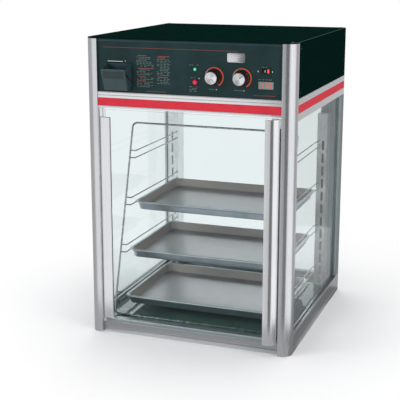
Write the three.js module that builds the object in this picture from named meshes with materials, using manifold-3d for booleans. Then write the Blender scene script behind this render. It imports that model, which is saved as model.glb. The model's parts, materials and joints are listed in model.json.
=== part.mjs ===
// Heated holding cabinet: an aluminium and glass case on a low base, a control head on top,
// a full-height glass door, and a wire rack that carries sheet pans.
// Millimetres, +Z up. The front faces -Y and the viewer's right is +X.

import * as THREE from 'three';
import { mergeVertices } from 'three/addons/utils/BufferGeometryUtils.js';
import Module from 'manifold-3d';

const wasm = await Module();
wasm.setup();

// Case: outside sizes, the gap between seated pieces and how far a cutting shape overruns
const caseWidth = 575;
const caseDepth = 585;
const caseHeight = 822;
const seat = 0.2;
const overrun = 5;

// Corner posts
const postWidth = 34;
const postDepth = 36;
const postRadius = 25;
const postWall = 3;

// Glazing
const glassThickness = 5;
const glassPlay = 0.3;
const glassSet = 11;
const glassBite = 6;

// Rails around the base and the head
const railDepth = 20;
const railWall = 2.5;
const baseRailHeight = 54;
const baseGrooveHeight = 13;
const baseGrooveWidth = 3;
const baseGrooveDepth = 1.5;
const sillHeight = 42.5;
const sillDepth = 12;
const sillSetback = 12;
const headRailHeight = 56.5;
const frontHeadRailHeight = 44;
const frontHeadRailDepth = 18;
const frontHeadRailSetback = 2;

// Coloured stripe let into the head rails
const stripeHeight = 21;
const stripeBelowRailTop = 16.5;
const stripeRecess = 2;

// Sheet metal of the head, the lid and the floor
const sheet = 1.5;
const panelHeight = 139.5;
const panelSheet = 2;
const panelSetback = 4;
const panelBevelHeight = 6;
const panelBevelLean = 3;
const panelFlange = 3.5;
const lidThickness = 3;
const lidRearRadius = 4;
const headReturn = 14;
const deckHeight = 36;
const deckSheet = 2;
const deckSkirt = 12;
const basePanLift = 1;
const ceilingLift = 13;

// Door
const doorSet = 2;
const doorSideGap = 2.5;
const doorBottom = 34;
const doorTopGap = 3.5;
const doorClampWall = 2.4;
const hingeStandoff = 8.5;
const hingeBarrelRadius = 3.8;
const hingePinRadius = 1.5;
const hingePinPlay = 0.25;
const hingePinLength = 16;
const stileBottom = 45;
const stileTopInset = 22;
const stileWidth = 24.5;
const stileChannel = 10.5;
const pivotHalf = 4.4;
const pivotGap = 1.2;
const handleWidth = 34;
const handleRadius = 20;
const handleWall = 2.5;
const handleBite = 22;
const catchWidth = 8.5;
const catchDepth = 4;
const catchGap = 0.6;
const catchEnds = 26;

// Wire rack
const hoopWireRadius = 2.75;
const hoopSideInset = 46;
const hoopBend = 14;
const hoopFootInset = 56;
const hoopTopInset = 204;
const hoopDrop = 59;
const runnerWireRadius = 1.75;
const runnerSideInset = 62.5;
const runnerBend = 5;
const runnerTipSideInset = 58.5;
const runnerTipRun = 12;
const runnerTipReach = 4;
const rackLevels = 4;
const firstLevel = 77;
const topLevelDrop = 97;
const guardRise = 20;
const wireJoint = 0.3;

// Slotted pilasters at the back
const pilasterRearInset = 76;
const pilasterWidth = 29.8;
const pilasterDepth = 50;
const pilasterDrop = 53;
const pilasterSlots = 12;
const pilasterLowSlot = 40.6;
const pilasterSlotBridge = 9.6;
const pilasterSlotWidth = 7.4;
const pilasterSlotSides = 12;
const pilasterTopSlotDrop = 96;
const pilasterSlotInset = 12;
const wireHolePlay = 0.6;

// Sheet pans: they fill the rack from side to side, and each stops at its own place behind the door
const panSideInset = 59;
const panDoorRoom = 255;
const panDepth = 25;
const panWall = 1.2;
const panRimWidth = 7.5;
const panRimThickness = 2.4;
const panCornerRadius = 22;
const panFlare = 4;
const panRearGaps = { top: 14, middle: 58, bottom: 87 };

// Knobs, their controls and the other things on the control panel
const knobInset = 213.5;
const knobPitch = 74;
const knobRise = 50.5;
const knobSkirtRadius = 21;
const knobSkirtHeight = 4;
const knobRadius = 17.5;
const knobTipRadius = 16;
const knobReach = 27;
const knobGap = 0.6;
const knobShaftRadius = 3;
const knobPointerWidth = 2.4;
const knobPointerHeight = 1;
const shaftPlay = 0.3;
const bushRadius = 5;
const controlRadius = 14;
const controlDepth = 20;
const lampInset = 264.5;
const greenLampRise = 68.5;
const greenLampRadius = 6;
const redLampRise = 35.5;
const redLampRadius = 8;
const lampHeight = 5;
const lampStemRadius = 4.5;
const lampStemLength = 24;
const switchInset = 76;
const switchRise = 70.5;
const switchWidth = 24;
const switchHeight = 15;
const switchBezel = 1.6;
const switchPocketWidth = 20.4;
const switchPocketHeight = 10.6;
const switchDepth = 18;
const rockerHalf = 9.2;
const rockerWing = 3.4;
const rockerWaist = 1.8;
const rockerHeel = 4;
const rockerTilt = 10;
const rockerPinRadius = 1;
const rockerPinReach = 1;
const displayInset = 76;
const displayRise = 34.7;
const displayWidth = 39;
const displayHeight = 18.5;
const displayBezel = 2;
const displayFront = 1.5;
const displayDepth = 16;

// Tilting water-fill cup
const cupInset = 98.5;
const cupWidth = 70;
const cupTaper = 4;
const cupRise = 7.5;
const cupLipRise = 62.5;
const cupBackRise = 76;
const cupFootReach = 26;
const cupLipReach = 44;
const cupTail = 24;
const cupWall = 2.2;
const cupGap = 0.8;
const cupTiltGap = 1.2;
const cupSlotWidth = 2.6;
const cupSlotHigh = 11;
const cupSlotLow = 30;
const cupSlotBack = 30;
const cupLabelTop = 4;
const cupLabelHeight = 20;
const cupLabelDepth = 0.7;
const cupPinRadius = 2;
const cupPinReach = 3;
const earThickness = 2;
const earRadius = 5;

// Air system under the lid
const fanRearInset = 170.5;
const fanRadius = 55;
const fanBladeHeight = 28;
const fanBladeLength = 24;
const fanBladeThickness = 1.6;
const fanBlades = 10;
const fanHubRadius = 10;
const fanDisc = 2;
const fanFloorGap = 7;
const fanShaftRadius = 4;
const plenumSize = 236;
const plenumHeight = 46;
const motorRadius = 38;
const motorHeight = 56;
const motorFlangeRadius = 46;
const motorFlange = 3;
const heaterTubeRadius = 4;
const heaterRing = 82;
const heaterLegs = 30;
const heaterRise = 17;
const heaterTail = 26;
const inletSlots = 10;
const inletSlotLength = 26;
const inletSlotWidth = 9;
const inletInnerRadius = 16;
const outletSlots = 6;
const outletSlotLength = 50;
const outletSlotWidth = 6;
const outletSlotPitch = 72;
const outletSideInset = 34;

// Humidity tank and its heater
const tankWidth = 190;
const tankRearGap = 93.5;
const tankHeight = 36;
const tankSideInset = 26;
const tankFrontGap = 3;
const elementRadius = 4;
const elementSpread = 12;
const elementBend = 5.4;
const elementRise = 1;
const elementLength = 140;
const elementPlug = 11;
const elementFlange = 16;
const elementFlangeThickness = 4;

// Control board
const boardInset = 157.5;
const boardBehindFront = 130;
const boardWidth = 150;
const boardLength = 100;
const boardThickness = 1.6;
const boardRise = 14;
const boardLegRadius = 3;
const boardLegInset = 6;
const transformerWidth = 44;
const transformerLength = 36;
const transformerHeight = 34;
const relayWidth = 20;
const relayLength = 16;
const relayHeight = 16;
const relayPitch = 28;

// Back of the head
const ventSlots = 10;
const ventSlotWidth = 5;
const ventSlotHeight = 44;
const ventSlotPitch = 14;
const ventRise = 70;
const glandInset = 87.5;
const glandRise = 40;
const glandRadius = 11;
const glandFlangeRadius = 16;
const glandFlangeHeight = 6;
const glandNutHeight = 5;
const glandBore = 4.5;

// How finely round shapes are cut
const fineSteps = 28;
const roundSteps = 16;
const wireSides = 6;
const hoopSides = 8;
const bendSteps = 3;
const cornerSteps = 6;

// Edges of the case
const right = caseWidth / 2;
const left = -right;
const rear = caseDepth / 2;
const front = -rear;
const lidBottom = caseHeight - lidThickness;
const headRailTop = lidBottom - panelHeight;
const headRailBottom = headRailTop - headRailHeight;
const frontHeadRailBottom = headRailTop - frontHeadRailHeight;
const ceilingZ = headRailBottom + ceilingLift;
const ceilingTop = ceilingZ + sheet;
const panelFront = front + panelSetback;
const panelBack = panelFront + panelSheet;
const hingeX = left + postWidth + hingeStandoff;
const hingeY = front + doorSet + glassThickness / 2;
const halfGlass = glassThickness / 2;
const clampInside = halfGlass + glassPlay;
const clampOutside = clampInside + doorClampWall;
const fanY = rear - fanRearInset;
const glassSlotOut = glassSet - clampInside;
const glassSlotIn = glassSet + clampInside;
const doorTop = frontHeadRailBottom - doorTopGap;
const stileTop = doorTop - stileTopInset;
const knobX = right - knobInset;
const lampX = right - lampInset;
const switchX = right - switchInset;
const displayX = right - displayInset;
const cupX = left + cupInset;
const glandX = right - glandInset;

const X = new THREE.Vector3(1, 0, 0);
const Y = new THREE.Vector3(0, 1, 0);
const Z = new THREE.Vector3(0, 0, 1);
const backX = X.clone().negate();
const backY = Y.clone().negate();
const quarterTurn = Math.PI / 2;
const halfTurn = Math.PI;
const fullTurn = 2 * Math.PI;

// Materials

function finish(color, roughness, metalness, opacity = 1) {
  return new THREE.MeshStandardMaterial({ color, roughness, metalness, opacity, transparent: opacity < 1 });
}

const satinAluminium = finish('#c3c5c8', 0.38, 0.9);
const brightAluminium = finish('#dcdde0', 0.3, 0.9);
const stainless = finish('#aeb3b6', 0.35, 0.9);
const galvanised = finish('#9aa7a5', 0.45, 0.8);
const greenBlack = finish('#25383a', 0.45, 0.2);
const lidBlack = finish('#061514', 0.4, 0.2);
const deckBlack = finish('#2c3f3a', 0.12, 0.2);
const stripeRed = finish('#d23845', 0.4, 0);
const clearGlass = finish('#e5edef', 0.05, 0, 0.3);
const wireChrome = finish('#a09a94', 0.25, 0.9);
const panAluminium = finish('#8d949a', 0.4, 0.85);
const blackPlastic = finish('#16191a', 0.45, 0);
const greyPlastic = finish('#3a464a', 0.5, 0);
const greenLens = finish('#2fa67a', 0.2, 0);
const redLens = finish('#c8173a', 0.2, 0);
const displayGrey = finish('#7f8a89', 0.3, 0);
const boardGreen = finish('#1f5a3c', 0.5, 0);
const magnetBlack = finish('#23262a', 0.7, 0);

// Solids

function solidOf(geometry) {
  const bare = geometry.clone();
  bare.deleteAttribute('normal');
  bare.deleteAttribute('uv');
  const merged = mergeVertices(bare);
  return new wasm.Manifold(new wasm.Mesh({
    numProp: 3,
    vertProperties: merged.getAttribute('position').array,
    triVerts: new Uint32Array(merged.index.array),
  }));
}

function geometryOf(solid) {
  const mesh = solid.getMesh();
  const geometry = new THREE.BufferGeometry();
  geometry.setAttribute('position', new THREE.BufferAttribute(mesh.vertProperties, mesh.numProp));
  geometry.setIndex(new THREE.BufferAttribute(mesh.triVerts, 1));
  return geometry;
}

function join(...pieces) {
  return geometryOf(pieces.map(solidOf).reduce((whole, piece) => whole.add(piece)));
}

function cut(piece, ...tools) {
  return geometryOf(tools.map(solidOf).reduce((whole, tool) => whole.subtract(tool), solidOf(piece)));
}

function overlapOf(first, second) {
  return geometryOf(solidOf(first).intersect(solidOf(second)));
}

function block(x0, x1, y0, y1, z0, z1) {
  const box = new THREE.BoxGeometry(x1 - x0, y1 - y0, z1 - z0);
  return box.translate((x0 + x1) / 2, (y0 + y1) / 2, (z0 + z1) / 2);
}

// A round bar from one height to another about a vertical line
function post(radius, x, y, z0, z1, sides = roundSteps) {
  const bar = new THREE.CylinderGeometry(radius, radius, z1 - z0, sides);
  return bar.rotateX(quarterTurn).translate(x, y, (z0 + z1) / 2);
}

// A round bar along Y
function rod(radius, x, z, y0, y1, sides = roundSteps) {
  return new THREE.CylinderGeometry(radius, radius, y1 - y0, sides).translate(x, (y0 + y1) / 2, z);
}

// A round bar along X
function pin(radius, y, z, x0, x1, sides = roundSteps) {
  const bar = new THREE.CylinderGeometry(radius, radius, x1 - x0, sides);
  return bar.rotateZ(-quarterTurn).translate((x0 + x1) / 2, y, z);
}

function outline(points) {
  return new THREE.Shape(points.map(([u, v]) => new THREE.Vector2(u, v)));
}

function holeOf(points) {
  return new THREE.Path(points.map(([u, v]) => new THREE.Vector2(u, v)));
}

function rectangle(u0, u1, v0, v1) {
  return [[u0, v0], [u1, v0], [u1, v1], [u0, v1]];
}

// A shape drawn in plan and raised between two heights
function raised(shape, z0, z1, steps = cornerSteps) {
  const settings = { depth: z1 - z0, bevelEnabled: false, curveSegments: steps };
  return new THREE.ExtrudeGeometry(shape, settings).translate(0, 0, z0);
}

// A section drawn inwards and upwards, run along a level line
function bar(section, origin, inward, length) {
  const along = inward.clone().cross(Z);
  const settings = { depth: length, bevelEnabled: false, curveSegments: cornerSteps };
  const place = new THREE.Matrix4().makeBasis(inward, Z, along).setPosition(origin);
  return new THREE.ExtrudeGeometry(section, settings).applyMatrix4(place);
}

// A rectangle in plan with its own radius at each corner
function roundedPlan(x0, x1, y0, y1, radii) {
  const [nearLeft, nearRight, farRight, farLeft] = radii;
  const shape = new THREE.Shape();
  shape.moveTo(x0 + nearLeft, y0);
  shape.lineTo(x1 - nearRight, y0);
  shape.absarc(x1 - nearRight, y0 + nearRight, nearRight, -quarterTurn, 0, false);
  shape.lineTo(x1, y1 - farRight);
  shape.absarc(x1 - farRight, y1 - farRight, farRight, 0, quarterTurn, false);
  shape.lineTo(x0 + farLeft, y1);
  shape.absarc(x0 + farLeft, y1 - farLeft, farLeft, quarterTurn, halfTurn, false);
  shape.lineTo(x0, y0 + nearLeft);
  shape.absarc(x0 + nearLeft, y0 + nearLeft, nearLeft, halfTurn, halfTurn + quarterTurn, false);
  return shape;
}

// A turned piece: points are [radius, distance along the axis], starting and ending on the axis
function turned(points, direction, steps = fineSteps) {
  const profile = points.map(([radius, run]) => new THREE.Vector2(radius, run));
  const lathe = new THREE.LatheGeometry(profile, steps);
  const turn = new THREE.Quaternion().setFromUnitVectors(Y, direction);
  return lathe.applyQuaternion(turn);
}

// A curve whose equal steps fall on its listed points, so a straight run costs one step
class Route extends THREE.Curve {
  constructor(points) {
    super();
    this.points = points;
  }

  getPoint(share, target = new THREE.Vector3()) {
    const place = share * (this.points.length - 1);
    const index = Math.min(Math.floor(place), this.points.length - 2);
    return target.lerpVectors(this.points[index], this.points[index + 1], place - index);
  }

  getPointAt(share, target) {
    return this.getPoint(share, target);
  }

  getTangentAt(share, target = new THREE.Vector3()) {
    const index = Math.round(share * (this.points.length - 1));
    const here = this.points[index];
    const before = this.points[index - 1] ?? here;
    const after = this.points[index + 1] ?? here;
    const arriving = here.clone().sub(before).normalize();
    const leaving = after.clone().sub(here).normalize();
    return target.addVectors(arriving, leaving).normalize();
  }
}

// The listed corners with an arc of the given radius at each inner one
function withBends(corners, radius) {
  const points = [corners[0]];
  for (let index = 1; index < corners.length - 1; index += 1) {
    const corner = corners[index];
    const back = corners[index - 1].clone().sub(corner).normalize();
    const on = corners[index + 1].clone().sub(corner).normalize();
    const half = back.angleTo(on) / 2;
    const start = corner.clone().addScaledVector(back, radius / Math.tan(half));
    const centre = corner.clone().addScaledVector(back.clone().add(on).normalize(), radius / Math.sin(half));
    const axis = on.clone().cross(back).normalize();
    for (let step = 0; step <= bendSteps; step += 1) {
      const spoke = start.clone().sub(centre).applyAxisAngle(axis, (halfTurn - 2 * half) * (step / bendSteps));
      points.push(centre.clone().add(spoke));
    }
  }
  points.push(corners[corners.length - 1]);
  return points;
}

function tube(points, radius, sides) {
  const section = new THREE.Shape();
  for (let side = 0; side < sides; side += 1) {
    const angle = (fullTurn * side) / sides;
    const place = [radius * Math.cos(angle), radius * Math.sin(angle)];
    if (side === 0) section.moveTo(...place);
    else section.lineTo(...place);
  }
  const settings = { steps: points.length - 1, bevelEnabled: false, extrudePath: new Route(points) };
  return new THREE.ExtrudeGeometry(section, settings);
}

function at(x, y, z) {
  return new THREE.Vector3(x, y, z);
}

const cabinet = new THREE.Group();

function add(name, geometry, material, group = cabinet) {
  const mesh = new THREE.Mesh(geometry, material);
  mesh.name = name;
  group.add(mesh);
  return mesh;
}

// Posts: the front pair runs the full height, the rear pair stands between the two rings of rails

function frontPost(side) {
  const inner = side * (right - postWidth);
  const [x0, x1] = side < 0 ? [left, inner] : [inner, right];
  const outerRadii = side < 0 ? [postRadius, 0, 0, 0] : [0, postRadius, 0, 0];
  const boreRadii = outerRadii.map((radius) => Math.max(radius - postWall, 0));
  const shell = roundedPlan(x0, x1, front, front + postDepth, outerRadii);
  const bore = roundedPlan(x0 + postWall, x1 - postWall, front + postWall, front + postDepth - postWall, boreRadii);
  shell.holes.push(bore);
  return raised(shell, 0, lidBottom - seat);
}

function rearPost(side) {
  const inner = side * (right - postWidth);
  const [x0, x1] = side < 0 ? [left, inner] : [inner, right];
  const shell = outline(rectangle(x0, x1, rear - postDepth, rear));
  const bore = rectangle(x0 + postWall, x1 - postWall, rear - postDepth + postWall, rear - postWall);
  shell.holes.push(holeOf(bore));
  return raised(shell, baseRailHeight + seat, headRailBottom - seat);
}

add('front_post_left', frontPost(-1), satinAluminium);
add('front_post_right', frontPost(1), satinAluminium);
add('rear_post_left', rearPost(-1), satinAluminium);
add('rear_post_right', rearPost(1), satinAluminium);

// Rails: hollow bars with a glass slot, a groove line on the base and a recess for the stripe

function grooved(height) {
  return [[0, height], [0, baseGrooveHeight + baseGrooveWidth / 2],
    [baseGrooveDepth, baseGrooveHeight], [0, baseGrooveHeight - baseGrooveWidth / 2]];
}

function baseRailSection() {
  const floor = baseRailHeight - glassBite;
  const section = outline([[0, 0], [railDepth, 0], [railDepth, baseRailHeight], [glassSlotIn, baseRailHeight],
    [glassSlotIn, floor], [glassSlotOut, floor], [glassSlotOut, baseRailHeight], ...grooved(baseRailHeight)]);
  const core = rectangle(railWall + baseGrooveDepth, railDepth - railWall, railWall, floor - railWall);
  section.holes.push(holeOf(core));
  return section;
}

function sillSection() {
  const section = outline([[0, 0], [sillDepth, 0], [sillDepth, sillHeight], ...grooved(sillHeight)]);
  const core = rectangle(railWall + baseGrooveDepth, sillDepth - railWall, railWall, sillHeight - railWall);
  section.holes.push(holeOf(core));
  return section;
}

function headRailSection(height, depth, slotted) {
  const stripeTop = height - stripeBelowRailTop;
  const stripeBottom = stripeTop - stripeHeight;
  const slot = [[glassSlotOut, 0], [glassSlotOut, glassBite], [glassSlotIn, glassBite], [glassSlotIn, 0]];
  const section = outline([[0, 0], ...(slotted ? slot : []), [depth, 0], [depth, height], [0, height],
    [0, stripeTop], [stripeRecess, stripeTop], [stripeRecess, stripeBottom], [0, stripeBottom]]);
  const coreBottom = (slotted ? glassBite : 0) + railWall;
  const core = rectangle(stripeRecess + railWall, depth - railWall, coreBottom, height - railWall);
  section.holes.push(holeOf(core));
  return section;
}

const postBack = front + postDepth;
const sideRun = rear - postBack - seat;
const frontRun = caseWidth - 2 * (postWidth + seat);
const rearRun = caseWidth - 2 * (railDepth + seat);
const rearStart = right - railDepth - seat;
const frontStart = left + postWidth + seat;

// The three rails of a ring behind the front posts, with end caps where the side rails show at the back
function ringOf(section, z) {
  const capSection = section.clone();
  capSection.holes = [];
  const leftCap = bar(capSection, at(left, rear, z), X, railWall);
  const rightCap = bar(capSection, at(right, rear - railWall, z), backX, railWall);
  return {
    left: join(bar(section, at(left, rear, z), X, sideRun), leftCap),
    right: join(bar(section, at(right, rear - sideRun, z), backX, sideRun), rightCap),
    rear: bar(section, at(rearStart, rear, z), backY, rearRun),
  };
}

const baseRing = ringOf(baseRailSection(), 0);
const headRing = ringOf(headRailSection(headRailHeight, railDepth, true), headRailBottom);
const sillPlace = at(frontStart, front + sillSetback, 0);
const frontHeadSection = headRailSection(frontHeadRailHeight, frontHeadRailDepth, false);
const frontHeadPlace = at(frontStart, front + frontHeadRailSetback, frontHeadRailBottom);

add('base_rail_front', bar(sillSection(), sillPlace, Y, frontRun), satinAluminium);
add('base_rail_left', baseRing.left, satinAluminium);
add('base_rail_right', baseRing.right, satinAluminium);
add('base_rail_rear', baseRing.rear, satinAluminium);
add('head_rail_front', bar(frontHeadSection, frontHeadPlace, Y, frontRun), brightAluminium);
add('head_rail_left', headRing.left, brightAluminium);
add('head_rail_right', headRing.right, brightAluminium);
add('head_rail_rear', headRing.rear, brightAluminium);

function stripeSection() {
  const top = headRailTop - stripeBelowRailTop - seat;
  const bottom = headRailTop - stripeBelowRailTop - stripeHeight + seat;
  return outline(rectangle(0, stripeRecess - seat, bottom, top));
}

add('stripe_front', bar(stripeSection(), at(frontStart, front + frontHeadRailSetback, 0), Y, frontRun), stripeRed);
add('stripe_left', bar(stripeSection(), at(left, rear, 0), X, sideRun), stripeRed);
add('stripe_right', bar(stripeSection(), at(right, rear - sideRun, 0), backX, sideRun), stripeRed);
add('stripe_rear', bar(stripeSection(), at(rearStart, rear, 0), backY, rearRun), stripeRed);

// Glass panes of the case

const paneBottom = baseRailHeight - glassBite + seat;
const paneTop = headRailBottom + glassBite - seat;

function sidePane(side) {
  const middle = side * (right - glassSet);
  return block(middle - halfGlass, middle + halfGlass, postBack + seat, rear - postDepth - seat, paneBottom, paneTop);
}

function rearPane() {
  const reach = right - postWidth - seat;
  const middle = rear - glassSet;
  return block(-reach, reach, middle - halfGlass, middle + halfGlass, paneBottom, paneTop);
}

add('side_glass_left', sidePane(-1), clearGlass);
add('side_glass_right', sidePane(1), clearGlass);
add('rear_glass', rearPane(), clearGlass);

// Floor and ceiling plates fit between the rails and are notched around the front posts

const plateHalf = right - railDepth - seat;
const plateRear = rear - railDepth - seat;
const sillBack = front + sillSetback + sillDepth;
const headRailBack = front + frontHeadRailSetback + frontHeadRailDepth;

function postNotches(z0, z1) {
  const reach = right - postWidth - seat;
  const back = postBack + seat;
  return [
    block(left, -reach, front, back, z0, z1),
    block(reach, right, front, back, z0, z1),
  ];
}

function deckPlate() {
  const bottom = deckHeight - deckSkirt;
  const tray = block(-plateHalf, plateHalf, sillBack + seat, plateRear, bottom, deckHeight);
  const inside = block(-plateHalf + deckSheet, plateHalf - deckSheet, sillBack + seat + deckSheet,
    plateRear - deckSheet, bottom - overrun, deckHeight - deckSheet);
  return cut(tray, inside, ...postNotches(bottom - overrun, deckHeight + overrun));
}

function basePan() {
  const plate = block(-plateHalf, plateHalf, sillBack + seat, plateRear, basePanLift, basePanLift + sheet);
  return cut(plate, ...postNotches(basePanLift - overrun, basePanLift + sheet + overrun));
}

function inletSlotTools() {
  const tools = [];
  for (let index = 0; index < inletSlots; index += 1) {
    const slot = block(inletInnerRadius, inletInnerRadius + inletSlotLength,
      -inletSlotWidth / 2, inletSlotWidth / 2, ceilingZ - overrun, ceilingTop + overrun);
    tools.push(slot.rotateZ((fullTurn * index) / inletSlots).translate(0, fanY, 0));
  }
  return tools;
}

function outletSlotTools() {
  const tools = [];
  for (let index = 0; index < outletSlots; index += 1) {
    const y = outletSlotPitch * (index - (outletSlots - 1) / 2);
    for (const side of [-1, 1]) {
      const x = side * (right - railDepth - outletSideInset);
      tools.push(block(x - outletSlotWidth / 2, x + outletSlotWidth / 2,
        y - outletSlotLength / 2, y + outletSlotLength / 2, ceilingZ - overrun, ceilingTop + overrun));
    }
  }
  return tools;
}

function chamberCeiling() {
  const plate = block(-plateHalf, plateHalf, headRailBack + seat, plateRear, ceilingZ, ceilingTop);
  const notches = postNotches(ceilingZ - overrun, ceilingTop + overrun);
  return cut(plate, ...notches, ...inletSlotTools(), ...outletSlotTools());
}

add('deck_plate', deckPlate(), deckBlack);
add('base_pan', basePan(), galvanised);
add('chamber_ceiling', chamberCeiling(), stainless);

// Head covers and lid

function headSidePanel(side) {
  const top = lidBottom - seat;
  const bottom = headRailTop + seat;
  const section = outline([[0, bottom], [sheet, bottom], [sheet, top - sheet], [headReturn, top - sheet],
    [headReturn, top], [0, top]]);
  return side < 0
    ? bar(section, at(left, rear, 0), X, sideRun)
    : bar(section, at(right, rear - sideRun, 0), backX, sideRun);
}

function headRearPanel() {
  const reach = right - sheet - seat;
  const top = lidBottom - seat - sheet - seat;
  const plate = block(-reach, reach, rear - sheet, rear, headRailTop + seat, top);
  const tools = [rod(glandRadius + seat, glandX, headRailTop + glandRise, rear - overrun, rear + overrun)];
  for (let index = 0; index < ventSlots; index += 1) {
    const x = ventSlotPitch * (index - (ventSlots - 1) / 2);
    const z = headRailTop + ventRise;
    tools.push(block(x - ventSlotWidth / 2, x + ventSlotWidth / 2, rear - overrun, rear + overrun,
      z - ventSlotHeight / 2, z + ventSlotHeight / 2));
  }
  return cut(plate, ...tools);
}

function lid() {
  const radii = [postRadius, postRadius, lidRearRadius, lidRearRadius];
  return raised(roundedPlan(left, right, front, rear, radii), lidBottom, caseHeight);
}

function cordGland() {
  const z = headRailTop + glandRise;
  const back = rear + seat;
  const inside = rear - sheet - seat;
  const body = join(
    rod(glandFlangeRadius, 0, 0, back, back + glandFlangeHeight, fineSteps),
    rod(glandRadius, 0, 0, inside - overrun, back + overrun),
    rod(glandFlangeRadius, 0, 0, inside - glandNutHeight, inside, wireSides),
  );
  const bored = cut(body, rod(glandBore, 0, 0, inside - 2 * glandNutHeight, back + 2 * glandFlangeHeight));
  return bored.translate(glandX, 0, z);
}

add('head_panel_left', headSidePanel(-1), lidBlack);
add('head_panel_right', headSidePanel(1), lidBlack);
add('head_panel_rear', headRearPanel(), lidBlack);
add('lid', lid(), lidBlack);
add('cord_gland', cordGland(), blackPlastic);

// Control panel: a folded sheet with openings for everything that it carries

const panelBottom = headRailTop + seat;
const panelTop = lidBottom - seat;
const panelHalf = right - postWidth - seat;
const cupBottom = headRailTop + cupRise;
const cupHingeY = panelFront + panelSheet / 2;
const cupHoleHalf = cupWidth / 2 + cupGap;
const lampHole = lampStemRadius + seat;
const bushHole = bushRadius + seat;

function panelSheetSection() {
  const bend = panelTop - panelBevelHeight;
  return outline([[0, panelBottom], [panelSheet, panelBottom], [panelSheet, bend],
    [panelSheet + panelBevelLean, panelTop], [panelBevelLean, panelTop], [0, bend]]);
}

function panelEars() {
  const z = cupBottom;
  const holes = [];
  const ears = [];
  for (const side of [-1, 1]) {
    const inner = cupX + side * cupHoleHalf;
    const outer = inner + side * earThickness;
    const [x0, x1] = [Math.min(inner, outer), Math.max(inner, outer)];
    ears.push(block(x0, x1, panelFront, cupHingeY + earRadius + overrun, z - earRadius, z + earRadius));
    holes.push(pin(cupPinRadius + shaftPlay, cupHingeY + earRadius, z, x0 - seat, x1 + overrun));
  }
  return { ears, holes };
}

function controlPanel() {
  const plate = bar(panelSheetSection(), at(-panelHalf, panelFront, 0), Y, 2 * panelHalf);
  const flangeTop = panelTop - panelBevelHeight;
  const flanges = [-1, 1].map((side) => {
    const edge = side * panelHalf;
    const inner = edge - side * panelSheet;
    return block(Math.min(edge, inner), Math.max(edge, inner), panelFront - panelFlange, panelBack,
      panelBottom, flangeTop);
  });
  const through = (radius, x, rise) => rod(radius, x, headRailTop + rise, panelFront - overrun, panelBack + overrun);
  const window = (x, rise, width, height) => block(x - width / 2 - seat, x + width / 2 + seat,
    panelFront - overrun, panelBack + overrun,
    headRailTop + rise - height / 2 - seat, headRailTop + rise + height / 2 + seat);
  const { ears, holes } = panelEars();
  const cupHole = block(cupX - cupHoleHalf, cupX + cupHoleHalf, panelFront - overrun, panelBack + overrun,
    cupBottom - cupTiltGap, headRailTop + cupBackRise + cupTiltGap);
  return cut(join(plate, ...flanges, ...ears), cupHole, ...holes,
    through(bushHole, knobX, knobRise),
    through(bushHole, knobX + knobPitch, knobRise),
    through(lampHole, lampX, greenLampRise),
    through(lampHole, lampX, redLampRise),
    window(switchX, switchRise, switchPocketWidth + switchBezel, switchPocketHeight + switchBezel),
    window(displayX, displayRise, displayWidth - displayBezel, displayHeight - displayBezel));
}

add('control_panel', controlPanel(), greenBlack);

// Knobs on their shafts, and the controls that the shafts turn in

function knob() {
  const bodyFoot = panelSheet + seat;
  const profile = [[0, -bodyFoot - controlDepth / 2], [knobShaftRadius, -bodyFoot - controlDepth / 2],
    [knobShaftRadius, knobGap + bushRadius], [knobSkirtRadius - knobSkirtHeight, knobGap + bushRadius],
    [knobSkirtRadius - knobSkirtHeight, knobGap], [knobSkirtRadius, knobGap],
    [knobSkirtRadius, knobGap + knobSkirtHeight], [knobRadius, knobGap + knobSkirtHeight],
    [knobTipRadius, knobReach], [0, knobReach]];
  const pointer = block(-knobPointerWidth / 2, knobPointerWidth / 2, -knobReach - knobPointerHeight,
    -knobReach + knobPointerHeight, knobTipRadius / 2, knobTipRadius - knobPointerHeight);
  return join(turned(profile, backY), pointer);
}

function rotaryControl() {
  const face = -panelSheet - seat;
  const profile = [[0, face - controlDepth], [controlRadius, face - controlDepth], [controlRadius, face],
    [bushRadius, face], [bushRadius, knobGap + bushRadius / 2],
    [knobShaftRadius + shaftPlay, knobGap + bushRadius / 2],
    [knobShaftRadius + shaftPlay, face - controlDepth / 2 - shaftPlay], [0, face - controlDepth / 2 - shaftPlay]];
  return turned(profile, backY);
}

['humidity', 'temperature'].forEach((name, index) => {
  const x = knobX + knobPitch * index;
  const z = headRailTop + knobRise;
  add(`${name}_knob`, knob(), blackPlastic).position.set(x, panelFront, z);
  add(`${name}_control`, rotaryControl(), greyPlastic).position.set(x, panelFront, z);
});

// Indicator lamps: a domed lens on a stem that passes through the panel

function lamp(radius) {
  const edge = lampHeight / 2;
  const profile = [[0, -panelSheet - lampStemLength], [lampStemRadius, -panelSheet - lampStemLength],
    [lampStemRadius, seat], [radius, seat], [radius, edge]];
  for (let step = 1; step < cornerSteps; step += 1) {
    const angle = (quarterTurn * step) / cornerSteps;
    profile.push([radius * Math.cos(angle), edge + (lampHeight - edge) * Math.sin(angle)]);
  }
  profile.push([0, lampHeight]);
  return turned(profile, backY, roundSteps);
}

add('green_lamp', lamp(greenLampRadius), greenLens).position.set(lampX, panelFront, headRailTop + greenLampRise);
add('red_lamp', lamp(redLampRadius), redLens).position.set(lampX, panelFront, headRailTop + redLampRise);

// Rocker switch: the rocker tilts on two short pins inside its frame

const switchGroup = new THREE.Group();
switchGroup.position.set(switchX, panelFront, headRailTop + switchRise);
cabinet.add(switchGroup);

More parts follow.
